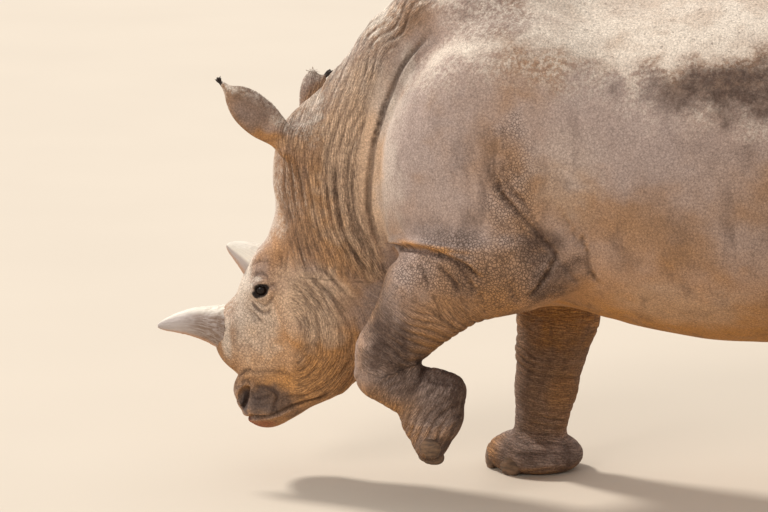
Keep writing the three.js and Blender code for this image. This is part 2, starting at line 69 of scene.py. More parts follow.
MM = 1000.0  # millimetres in a metre
FLOOR = -28.0  # the level of the soles
OUTSIDE = 300.0  # the field where no shape reaches
CULL_MARGIN = 110.0  # how far past its blend a shape is still felt
CHUNK = 40_000  # points that one worker takes at a time
BATCH = 1_000_000  # points of a lattice that are worked out at a time
LEAST_SLOPE = 0.05  # of the field, squared, where points are moved along it
NOISE_TABLE = 4096  # random values that lattice noise picks from
NOISE_PRIMES = (73_856_093, 19_349_663, 83_492_791)
CORNERS = [(i, j, k) for i in (0, 1) for j in (0, 1) for k in (0, 1)]


# Shapes ------------------------------------------------------


def smooth_union(a: Array, b: Array, width: Array | float) -> Array:
    """Joins two distances, rounded over a width."""
    h = np.clip(0.5 + 0.5 * (b - a) / width, 0.0, 1.0)
    return b + (a - b) * h - width * h * (1.0 - h)


def smooth_carve(a: Array, b: Array, width: float) -> Array:
    """Takes the second distance out of the first, rounded over a width."""
    return -smooth_union(-a, b, width)


def ease(value: Array | float, low: float, high: float) -> Array:
    """Runs smoothly from 0 at low to 1 at high."""
    t = np.clip((value - low) / (high - low), 0.0, 1.0)
    return t * t * (3.0 - 2.0 * t)


@cache
def turned_axes(pitch: float, yaw: float, roll: float) -> Array:
    """Three axes as rows: pitch lifts the front one, yaw swings it and roll turns the others about it.

    Args:
        pitch: degrees.
        yaw: degrees.
        roll: degrees.

    Returns:
        A 3 x 3 array.
    """
    p, q, r = np.radians([pitch, yaw, roll])
    front = np.array([np.cos(p) * np.cos(q), np.cos(p) * np.sin(q), np.sin(p)])
    side = np.array([-np.sin(q), np.cos(q), 0.0])
    up = np.cross(front, side)
    return np.array([front, side * np.cos(r) + up * np.sin(r), up * np.cos(r) - side * np.sin(r)])


@dataclass(frozen=True)
class Blob:
    """A turned ellipsoid, which may stand on both sides of the body."""

    at: Point
    radii: Point
    pitch: float = 0.0
    yaw: float = 0.0
    roll: float = 0.0
    blend: float = 60.0
    both: bool = False

    @cached_property
    def reach(self) -> tuple[Array, Array]:
        """The box that it fills.

        Returns:
            Its lowest and its highest corner.
        """
        axes = turned_axes(self.pitch, self.yaw, self.roll)
        half = np.sqrt(((axes.T * np.array(self.radii)) ** 2).sum(1))
        return np.array(self.at) - half, np.array(self.at) + half

    def distance(self, points: Array) -> Array:
        """How far points lie outside, by a first-order distance.

        Args:
            points: places, in millimetres.

        Returns:
            A distance for each, below 0 inside.
        """
        axes = turned_axes(self.pitch, self.yaw, self.roll).astype(np.float32)
        radii = np.array(self.radii, np.float32)
        q = ((points - np.array(self.at, np.float32)) @ axes.T) / radii
        level = np.sqrt((q**2).sum(1)) + 1e-6
        steep = np.sqrt(((q / radii) ** 2).sum(1)) + 1e-9
        return level * (level - 1.0) / steep


@dataclass(frozen=True)
class Limb:
    """Tapered rounds end to end, as (x, y, z, radius), wider across the body where flat is over 1."""

    points: Sequence[Round]
    flat: float = 1.0
    blend: float = 60.0
    both: bool = False
    knit: float = 30.0

    @cached_property
    def reach(self) -> tuple[Array, Array]:
        """The box that it fills.

        Returns:
            Its lowest and its highest corner.
        """
        a = np.array(self.points, float)
        radius = a[:, 3:] * max(1.0, self.flat)
        return (a[:, :3] - radius).min(0), (a[:, :3] + radius).max(0)

    def distance(self, points: Array) -> Array:
        """How far points lie outside.

        Args:
            points: places, in millimetres.

        Returns:
            A distance for each, below 0 inside.
        """
        wide = np.array([1.0, 1.0 / self.flat, 1.0], np.float32)
        best = None
        for start, end in zip(self.points, self.points[1:]):
            a, b = np.array(start, np.float32), np.array(end, np.float32)
            off, along = points - a[:3], b[:3] - a[:3]
            t = np.clip(off @ along / (along @ along), 0.0, 1.0)[:, None]
            gap = np.sqrt((((off - t * along) * wide) ** 2).sum(1))
            d = (gap - (a[3] + t[:, 0] * (b[3] - a[3]))) * min(1.0, self.flat)
            best = d if best is None else smooth_union(best, d, self.knit)
        return best


Shape = Blob | Limb

LEFT_EAR = {"pitch": 42.3, "yaw": 198.5, "roll": 19.0}
RIGHT_EAR = {"pitch": 75.0, "yaw": 125.5, "roll": 72.0}

TRUNK: list[Shape] = [
    Blob((600, 0, 1080), (950, 500, 530)),  # rib cage
    Blob((880, 0, 950), (720, 500, 405), blend=160),  # belly
    Blob((0, 0, 1320), (440, 290, 440), pitch=-6, blend=180),  # withers
    Blob((760, 0, 1240), (850, 370, 400), blend=200),  # loins
    Blob((1470, 0, 1220), (500, 390, 470), blend=200),  # rump
    Blob((1690, 0, 1060), (310, 370, 420), blend=160),  # buttocks
    Blob((-130, 0, 850), (290, 290, 290), blend=160),  # brisket
    Blob((10, 285, 1130), (370, 200, 450), pitch=-14, both=True, blend=110),  # shoulder blades
    Blob((-170, 215, 1080), (262, 165, 380), pitch=-12, both=True, blend=60),  # shoulder fronts
]
STANDING_LEGS: list[Shape] = [
    Blob((60, 330, 850), (290, 150, 300), pitch=-5, blend=90),
    Limb(
        ((90, 300, 700, 185), (74, 290, 495, 134), (52, 285, 380, 116), (38, 280, 260, 102),
         (20, 272, 120, 90)),
        flat=0.95, blend=70,
    ),
    Blob((0, 268, 25), (165, 150, 82), blend=24),
    Limb(((1620, -190, 1150, 270), (1380, -290, 800, 215)), flat=0.8, blend=140),
    Limb(
        ((1370, -300, 790, 205), (1530, -302, 590, 140), (1600, -300, 450, 108), (1560, -292, 260, 94),
         (1500, -288, 110, 94)),
        flat=0.9, blend=90,
    ),
    Blob((1450, -286, 24), (152, 140, 76), blend=30),
    Limb(((1620, 190, 1150, 270), (1530, 290, 800, 225)), flat=0.8, blend=140),
    Limb(
        ((1520, 300, 780, 210), (1760, 302, 590, 146), (1880, 300, 460, 110), (1900, 292, 260, 94),
         (1870, 288, 110, 94)),
        flat=0.9, blend=90,
    ),
    Blob((1825, 286, 24), (152, 140, 76), blend=30),
]
TAIL: list[Shape] = [
    Limb(
        ((1850, 0, 1380, 110), (2010, 0, 1290, 62), (2072, 0, 1120, 42), (2082, 0, 920, 34),
         (2078, 0, 770, 28)),
        blend=50,
    ),
]
RAISED_LEG: list[Shape] = [
    Blob((20, -330, 900), (300, 155, 260), pitch=20, blend=60),
    Limb(((-40, -345, 830, 195), (-240, -345, 690, 150), (-384, -335, 490, 103)), flat=0.85, blend=50),
    Limb(
        ((-385, -335, 490, 103), (-402, -332, 420, 88), (-330, -328, 372, 80), (-270, -325, 348, 77)),
        blend=20,
    ),
    Blob((-178, -325, 366), (50, 92, 49), blend=20),  # heel
    Limb(((-236, -323, 330, 104), (-239, -323, 270, 96), (-241, -323, 200, 60)), flat=1.15, blend=24),
    Blob((-241, -323, 190), (48, 104, 62), blend=24),  # toes
]
NECK: list[Shape] = [
    Blob((-400, 0, 1080), (255, 225, 470), pitch=-17, blend=120),
    Blob((-550, 0, 900), (215, 205, 380), pitch=-10, blend=120),
    Limb(
        ((-690, 0, 1140, 85), (-545, 0, 1270, 110), (-400, 0, 1410, 150), (-210, 0, 1530, 185),
         (0, 0, 1560, 195)),
        blend=120,
    ),
    Blob((-480, 0, 640), (170, 160, 220), blend=120),  # dewlap
]
HEAD: list[Shape] = [
    Blob((-680, 0, 1005), (164, 145, 225), blend=90),  # cranium
    Blob((-665, 95, 1095), (100, 68, 90), both=True, blend=50),  # roots of the ears
    Blob((-690, 0, 700), (190, 158, 215), blend=80),  # middle of the face
    Blob((-838, 100, 680), (66, 56, 92), both=True, blend=50),  # brows
    Blob((-868, 0, 650), (62, 90, 105), blend=50),  # boss of the rear horn
    Blob((-880, 0, 520), (100, 112, 150), blend=70),  # bridge of the nose
    Blob((-962, 0, 448), (88, 102, 118), blend=45),  # boss of the front horn
    Blob((-635, 85, 530), (175, 98, 200), both=True, blend=90),  # cheeks
    Blob((-838, 0, 335), (118, 128, 125), blend=60),  # muzzle
    Blob((-852, 0, 236), (108, 148, 74), blend=45),  # upper lip
    Limb(((-860, 45, 218, 62), (-640, 65, 350, 85)), both=True, blend=50),  # jaws
    Blob((-862, 0, 200), (74, 104, 58), blend=24),  # lower lip
    Blob((-918, 88, 280), (46, 42, 60), both=True, blend=30),  # rims of the nostrils
    Blob((-846, 122, 640), (52, 46, 46), both=True, blend=26),  # eyelids
]
EARS: list[Shape] = [
    Limb(((-680, -110, 1068, 60), (-745, -148, 1130, 46), (-800, -165, 1177, 40)), flat=0.9, blend=30),
    Blob((-857, -182, 1229), (125, 36, 64), **LEFT_EAR, blend=20),
    Limb(((-925, -206, 1292, 24), (-966, -204, 1331, 7)), blend=14),
    Limb(((-690, 110, 1080, 60), (-712, 140, 1140, 48), (-722, 155, 1180, 42)), flat=0.9, blend=30),
    Blob((-742, 180, 1201), (126, 34, 55), **RIGHT_EAR, blend=20),
    Limb(((-735, 203, 1272, 24), (-716, 212, 1307, 7)), blend=14),
]
CARVED: list[Shape] = [
    Blob((-883, -158, 1214), (106, 38, 52), **LEFT_EAR, blend=8),
    Blob((-758, 206, 1208), (108, 34, 44), **RIGHT_EAR, blend=8),
    Blob((-924, 122, 256), (22, 30, 46), pitch=-16, yaw=25, both=True, blend=10),  # nostrils
    Blob((-853, 176, 637), (31, 30, 29), both=True, blend=6),  # between the lids
]
LID_RIMS = (
    ((-873, 155, 650, 7), (-854, 160, 664, 9), (-834, 157, 655, 7)),  # upper
    ((-871, 154, 615, 5), (-853, 158, 609, 6), (-836, 155, 617, 5)),  # lower
)
LID_ENDS = ((-881, 145, 628, 4), (-824, 147, 634, 4))
LIDS: list[Shape] = [
    Limb((LID_ENDS[0], *rim, LID_ENDS[1]), both=True, blend=6, knit=3) for rim in LID_RIMS
]
RAISED_LEG_BLEND = 60.0
CREASE_LEVELS = (1250.0, 1600.0)  # between these the neck's crease with the shoulder runs out
CREASE_BLENDS = (24.0, 150.0)
SOLE_BLEND = 14.0
EYE: Point = (-853.0, -138.0, 637.0)  # the left one's middle


class Flesh:
    """The field that all flesh is the inside of."""

    @staticmethod
    def applied(field: Array, points: Array, shapes: Sequence[Shape], joins: Callable) -> Array:
        """The field with shapes joined to it or carved from it, each only where it can reach.

        Args:
            field: the field so far at each point, which is changed.
            points: places, in millimetres.
            shapes: what is applied, in order.
            joins: smooth_union or smooth_carve.

        Returns:
            The same array.
        """
        first, last = points.min(0), points.max(0)
        for shape in shapes:
            low, high = shape.reach
            grow = CULL_MARGIN + 1.1 * shape.blend
            low, high = low - grow, high + grow
            for side in (1, -1) if shape.both else (1,):
                flip = np.array([1, side, 1], np.float32)
                least, most = np.minimum(low * flip, high * flip), np.maximum(low * flip, high * flip)
                if (least > last).any() or (most < first).any():
                    continue
                near = np.flatnonzero(((points > least) & (points < most)).all(1))
                if len(near):
                    field[near] = joins(field[near], shape.distance(points[near] * flip), shape.blend)
        return field

    def group(self, points: Array, shapes: Sequence[Shape]) -> Array:
        """The field of one group of shapes."""
        return self.applied(np.full(len(points), OUTSIDE, np.float32), points, shapes, smooth_union)

    def distance(self, points: Array) -> Array:
        """How far points lie outside the flesh.

        Args:
            points: places, in millimetres.

        Returns:
            A distance for each, below 0 inside.
        """
        points = np.asarray(points, np.float32)
        if len(points) <= CHUNK:
            return self.chunk_distance(points)
        chunks = [points[n : n + CHUNK] for n in range(0, len(points), CHUNK)]
        with ThreadPoolExecutor(4) as workers:
            return np.concatenate(list(workers.map(self.chunk_distance, chunks)))

    def chunk_distance(self, points: Array) -> Array:
        """The same distance, worked out at once.

        Args:
            points: no more than one worker's share of places.

        Returns:
            A distance for each.
        """
        body = self.group(points, TRUNK + STANDING_LEGS + TAIL)
        body = smooth_union(body, self.group(points, RAISED_LEG), RAISED_LEG_BLEND)
        fore = self.group(points, NECK + HEAD + EARS)
        blend = np.interp(points[:, 2], CREASE_LEVELS, CREASE_BLENDS).astype(np.float32)
        f = smooth_union(body, fore, blend)
        f = self.applied(f, points, CARVED, smooth_carve)
        f = self.applied(f, points, LIDS, smooth_union)
        return -smooth_union(-f, points[:, 2] - FLOOR, SOLE_BLEND)

    def slope(self, points: Array, step: float = 1.0) -> tuple[Array, Array]:
        """The field and its gradient.

        Args:
            points: places, in millimetres.
            step: how far apart the field is compared.

        Returns:
            The field at each point, and its gradient there.
        """
        here = self.distance(points)
        steps = step * np.eye(3, dtype=np.float32)
        gradient = np.stack([self.distance(points + one) - here for one in steps], 1)
        return here, gradient / step

    def settled(self, points: Array, rounds: int = 3, longest: float = 6.0) -> Array:
        """Points moved onto the surface.

        Args:
            points: places near the surface.
            rounds: how many steps are taken.
            longest: the longest of them.

        Returns:
            The moved points.
        """
        points = points.astype(np.float32)
        for _ in range(rounds):
            here, gradient = self.slope(points)
            steep = np.maximum((gradient**2).sum(1), LEAST_SLOPE)
            move = -here[:, None] * gradient / steep[:, None]
            length = np.linalg.norm(move, axis=1, keepdims=True) + 1e-9
            points = points + move * np.minimum(1.0, longest / length)
        return points

    def surface_along(self, start: Array, direction: Array, longest: float, halvings: int = 12) -> Array:
        """Where a line from inside the flesh leaves it.

        Args:
            start: one point inside for each line.
            direction: one unit vector for each line.
            longest: the longest way to look.
            halvings: how often that way is halved.

        Returns:
            The points where the lines come out.
        """
        near, far = np.zeros(len(start)), np.full(len(start), longest)
        for _ in range(halvings):
            middle = (near + far) / 2
            inside = self.distance(start + direction * middle[:, None]) < 0
            near, far = np.where(inside, middle, near), np.where(inside, far, middle)
        return start + direction * near[:, None]


# Meshes from the field ---------------------------------------


def graded(bands: Sequence[Span], scale: float) -> Array:
    """Lattice lines whose spacing changes from band to band.

    Args:
        bands: (where a band starts, its spacing), the last giving only the end.
        scale: what every spacing is multiplied by.

    Returns:
        The places of the lines, in order.
    """
    lines = []
    for (start, spacing), (end, _) in zip(bands, bands[1:]):
        count = max(1, round((end - start) / (spacing * scale)))
        lines.append(np.linspace(start, end, count, endpoint=False))
    return np.concatenate([*lines, [bands[-1][0]]])


def sampled(flesh: Flesh, lines: Sequence[Array], coarse: int = 4, margin: float = 1.3) -> Array:
    """The field on a lattice, worked out in full only near the surface.

    Args:
        flesh: the field.
        lines: the lattice's lines along each axis.
        coarse: the first, rough pass takes every so many lines.
        margin: how near the surface is, in diagonals of the rough pass's cells.

    Returns:
        The field at every crossing.
    """
    rough = [axis[::coarse] for axis in lines]
    places = np.stack(np.meshgrid(*rough, indexing="ij"), -1).reshape(-1, 3)
    first = flesh.distance(places).reshape([len(axis) for axis in rough])
    steps = [np.diff(axis, append=axis[-1] + (axis[-1] - axis[-2])) for axis in rough]
    squares = np.meshgrid(*[np.square(step) for step in steps], indexing="ij", sparse=True)
    reach = margin * np.sqrt(sum(squares))
    picks = [np.minimum(np.arange(len(axis)) // coarse, len(few) - 1) for axis, few in zip(lines, rough)]
    field = first[np.ix_(*picks)]
    near = np.argwhere((np.abs(first) < reach)[np.ix_(*picks)])
    for start in range(0, len(near), BATCH):
        part = near[start : start + BATCH]
        places = np.stack([axis[part[:, n]] for n, axis in enumerate(lines)], 1)
        field[tuple(part.T)] = flesh.distance(places)
    return field


def netted(field: Array, lines: Sequence[Array]) -> tuple[Array, Array]:
    """Nets the surface where a field on a lattice passes 0.

    Args:
        field: its value at each crossing of the lattice.
        lines: the lattice's lines along each axis.

    Returns:
        The points, and quads of them that face out.
    """
    inside = field < 0
    full = np.zeros(tuple(n - 1 for n in field.shape), np.int8)
    halves = (slice(0, -1), slice(1, None))
    for i, j, k in CORNERS:
        full += inside[halves[i], halves[j], halves[k]]
    cells = np.argwhere((full > 0) & (full < len(CORNERS)))
    ids = np.full(full.shape, -1, np.int32)
    ids[tuple(cells.T)] = np.arange(len(cells))
    total, count = np.zeros((len(cells), 3)), np.zeros(len(cells))
    for corner in CORNERS:
        for axis in range(3):
            if corner[axis]:
                continue
            other = np.array(corner)
            other[axis] = 1
            a, b = cells + corner, cells + other
            fa, fb = field[tuple(a.T)], field[tuple(b.T)]
            hit = (fa < 0) != (fb < 0)
            t = np.where(hit, fa / np.where(hit, fa - fb, 1), 0)
            for n in range(3):
                pa, pb = lines[n][a[:, n]], lines[n][b[:, n]]
                total[:, n] += np.where(hit, pa + t * (pb - pa), 0)
            count += hit
    quads = []
    for axis in range(3):
        low, high = [slice(None)] * 3, [slice(None)] * 3
        low[axis], high[axis] = halves
        edges = np.argwhere(inside[tuple(low)] != inside[tuple(high)])
        u, v = [n for n in range(3) if n != axis]
        kept = (edges[:, [u, v]] > 0).all(1)
        kept &= (edges[:, u] < field.shape[u] - 1) & (edges[:, v] < field.shape[v] - 1)
        edges = edges[kept]
        ring = []
        for du, dv in ((-1, -1), (0, -1), (0, 0), (-1, 0)):
            cell = edges.copy()
            cell[:, u] += du
            cell[:, v] += dv
            ring.append(ids[tuple(cell.T)])
        quad = np.stack(ring, 1)
        outwards = inside[tuple(edges.T)] != (axis == 1)
        quad[~outwards] = quad[~outwards][:, ::-1]
        quads.append(quad)
    return total / count[:, None], np.concatenate(quads)


def normals_of(points: Array, quads: Array) -> Array:
    """A unit normal at each point of a mesh of quads.

    Args:
        points: the mesh's points.
        quads: four of them for each face.

    Returns:
        A normal for each point.
    """
    a, b, c, d = (points[quads[:, n]] for n in range(4))
    across = np.cross(c - a, d - b)
    total = np.zeros_like(points, dtype=float)
    for n in range(4):
        for axis in range(3):
            total[:, axis] += np.bincount(quads[:, n], across[:, axis], len(points))
    return total / (np.linalg.norm(total, axis=1, keepdims=True) + 1e-9)


def lattice_noise(points: Array, size: float, seed: int) -> Array:
    """Smooth noise from -1 to 1, from random values on a lattice.

    Args:
        points: places, in millimetres.
        size: the lattice's spacing.
        seed: picks the values.

    Returns:
        One value for each point.
    """
    table = np.random.default_rng(seed).uniform(-1, 1, NOISE_TABLE)
    q = points / size
    cell = np.floor(q).astype(np.int64)
    t = q - cell
    t = t * t * (3 - 2 * t)
    total = np.zeros(len(points))
    for corner in CORNERS:
        x, y, z = ((cell + corner) * NOISE_PRIMES).T
        wx, wy, wz = np.where(corner, t, 1 - t).T
        total += table[(x ^ y ^ z) & (NOISE_TABLE - 1)] * wx * wy * wz
    return total


class Layout:
    """Where the flesh's own millimetres lie in the frame."""

    def __init__(self) -> None:
        """Reads the place of the left eye."""
        low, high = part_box("eye_left")
        self.shift = np.array((low + high) / 2) * MM - np.array(EYE)

    def placed(self, points: Array) -> Array:
        """Points of the flesh, in the frame's metres."""
        return (points + self.shift) / MM

    def point(self, place: Point) -> Vector:
        """One place of the flesh, in the frame's metres."""
        return Vector(self.placed(np.array(place, float)))


def stored(mesh: bpy.types.Mesh, name: str, values: Array) -> None:
    """Stores a number or a vector for each point of a mesh."""
    kind, key = ("FLOAT_VECTOR", "vector") if values.ndim == 2 else ("FLOAT", "value")
    mesh.attributes.new(name, kind, "POINT").data.foreach_set(key, values.astype(np.float32).ravel())


def vectors(items: bpy.types.bpy_prop_collection, key: str) -> Array:
    """Reads one vector of each item of a mesh.

    Args:
        items: such as its points.
        key: the name of the vector.

    Returns:
        The vectors as rows.
    """
    values = np.zeros(len(items) * 3, np.float32)
    items.foreach_get(key, values)
    return values.reshape(-1, 3)


def evaluated(piece: Piece) -> bpy.types.Mesh:
    """A piece's mesh with its modifiers applied."""
    return bpy.data.meshes.new_from_object(piece.evaluated_get(bpy.context.evaluated_depsgraph_get()))


def mesh_object(name: str, points: Array, faces: Array, material: Material) -> Piece:
    """A smooth mesh object at the origin.

    Args:
        name: the piece's name.
        points: places, in metres.
        faces: quads or triangles of them.
        material: its finish.

    Returns:
        The object, linked to the scene.
    """
    mesh = bpy.data.meshes.new(name)
    mesh.vertices.add(len(points))
    mesh.vertices.foreach_set("co", np.asarray(points, np.float32).ravel())
    mesh.loops.add(faces.size)
    mesh.loops.foreach_set("vertex_index", faces.astype(np.int32).ravel())
    mesh.polygons.add(len(faces))
    mesh.polygons.foreach_set("loop_start", np.arange(0, faces.size, faces.shape[1], dtype=np.int32))
    mesh.polygons.foreach_set("use_smooth", np.ones(len(faces), bool))
    mesh.update(calc_edges=True)
    mesh.validate()
    mesh.materials.append(material)
    made = bpy.data.objects.new(name, mesh)
    bpy.context.scene.collection.objects.link(made)
    return made


# Finishes ----------------------------------------------------


Colour = tuple[float, float, float]


def linear(red: int, green: int, blue: int) -> Colour:
    """A colour from its eight-bit display values."""
    shares = [value / 255 for value in (red, green, blue)]
    return tuple(s / 12.92 if s <= 0.04045 else ((s + 0.055) / 1.055) ** 2.4 for s in shares)


def fed(tree: bpy.types.NodeTree, socket: Socket, value: object) -> None:
    """Links an input to a socket, or sets it to a plain value.

    Args:
        tree: the node tree.
        socket: the input.
        value: the socket or the value that it gets.
    """
    if isinstance(value, Socket):
        tree.links.new(value, socket)
    else:
        socket.default_value = value


class Nodes:
    """Short calls that add nodes to a tree."""

    tree: bpy.types.NodeTree

    def node(self, kind: str, inputs: dict | None = None, **settings: object) -> bpy.types.Node:
        """Adds a node.

        Args:
            kind: the node's type.
            inputs: what feeds its inputs, by their names or numbers.
            **settings: its other settings.

        Returns:
            The node.
        """
        made = self.tree.nodes.new(kind)
        for key, value in settings.items():
            setattr(made, key, value)
        for key, value in (inputs or {}).items():
            fed(self.tree, made.inputs[key], value)
        return made

    def math(self, operation: str, a: object, b: object) -> Socket:
        """One sum of two numbers."""
        return self.node("ShaderNodeMath", {0: a, 1: b}, operation=operation).outputs[0]


class Graph(Nodes):
    """One material and short calls that add nodes to it."""

    COLOUR_A, COLOUR_B, COLOUR_OUT = 6, 7, 2  # the mixing node's sockets for colours

    def __init__(self, name: str) -> None:
        """Makes the material with its one shader.

        Args:
            name: the material's name.
        """
        self.material = bpy.data.materials.new(name)
        self.material.use_nodes = True
        self.tree = self.material.node_tree
        self.shader = self.tree.nodes["Principled BSDF"]
        self.place = self.node("ShaderNodeTexCoord").outputs["Object"]

    def attribute(self, name: str, output: str = "Fac") -> Socket:
        """A number stored on the mesh, or with the output Vector a vector."""
        return self.node("ShaderNodeAttribute", attribute_name=name).outputs[output]

    def times(self, a: object, b: object) -> Socket:
        """The product of two numbers."""
        return self.math("MULTIPLY", a, b)

    def plus(self, a: object, b: object) -> Socket:
        """Two numbers together."""
        return self.math("ADD", a, b)

    def eased(self, value: object, low: float, high: float, to: Span = (0.0, 1.0)) -> Socket:
        """A number taken smoothly from one range to another."""
        inputs = dict(enumerate((value, low, high, *to)))
        return self.node("ShaderNodeMapRange", inputs, interpolation_type="SMOOTHSTEP").outputs[0]

    def mixed(self, share: object, a: object, b: object, blend: str = "MIX") -> Socket:
        """Two colours mixed by a share.

        Args:
            share: how much of the second colour there is.
            a: the first colour, or a socket.
            b: the second.
            blend: the way they mix.

        Returns:
            The mixed colour.
        """
        a, b = ((*colour, 1.0) if isinstance(colour, tuple) else colour for colour in (a, b))
        inputs = {0: share, self.COLOUR_A: a, self.COLOUR_B: b}
        made = self.node("ShaderNodeMix", inputs, data_type="RGBA", blend_type=blend)
        return made.outputs[self.COLOUR_OUT]

    def blended(self, share: object, a: object, b: object) -> Socket:
        """Two numbers mixed by a share."""
        return self.node("ShaderNodeMix", {0: share, 2: a, 3: b}, data_type="FLOAT").outputs[0]

    def scaled(self, vector: Socket, scale: Point) -> Socket:
        """Coordinates scaled along each axis."""
        return self.node("ShaderNodeMapping", {"Vector": vector, "Scale": scale}).outputs[0]

    def noise(self, vector: Socket, scale: float, detail: float = 3.0, rough: float = 0.55) -> Socket:
        """Soft noise about 0.5."""
        inputs = {"Vector": vector, "Scale": scale, "Detail": detail, "Roughness": rough}
        return self.node("ShaderNodeTexNoise", inputs).outputs[0]

    def cells(self, vector: Socket, scale: float = 1.0) -> Socket:
        """Irregular cells, as the distance to the nearest edge between two."""
        inputs = {"Vector": vector, "Scale": scale}
        return self.node("ShaderNodeTexVoronoi", inputs, feature="DISTANCE_TO_EDGE").outputs["Distance"]

    def warped(self, vector: Socket, scale: float, amount: float) -> Socket:
        """Coordinates pushed about by noise.

        Args:
            vector: the coordinates.
            scale: how fine the noise is.
            amount: how far it pushes, in metres.

        Returns:
            The pushed coordinates.
        """
        push = self.node("ShaderNodeTexNoise", {"Vector": vector, "Scale": scale}).outputs["Color"]
        inputs = {0: push, 1: (amount, amount, amount), 2: vector}
        return self.node("ShaderNodeVectorMath", inputs, operation="MULTIPLY_ADD").outputs[0]

    def grey(self, value: object) -> Socket:
        """A number as a grey."""
        return self.node("ShaderNodeCombineColor", {0: value, 1: value, 2: value}).outputs[0]

    def finish(self, colour: Socket, rough: object, height: object = None, gloss: float = 0.5) -> Material:
        """Joins colour, roughness, relief and gloss to the shader.

        Args:
            colour: the colour.
            rough: the roughness, as a socket or a number.
            height: the relief, in millimetres, if there is any.
            gloss: how much the surface reflects: 0.5 is common.

        Returns:
            The material.
        """
        given = {"Base Color": colour, "Roughness": rough, "Specular IOR Level": gloss}
        if height is not None:
            given["Normal"] = self.node("ShaderNodeBump", {"Distance": 1 / MM, "Height": height}).outputs[0]
        for key, value in given.items():
            fed(self.tree, self.shader.inputs[key], value)
        return self.material


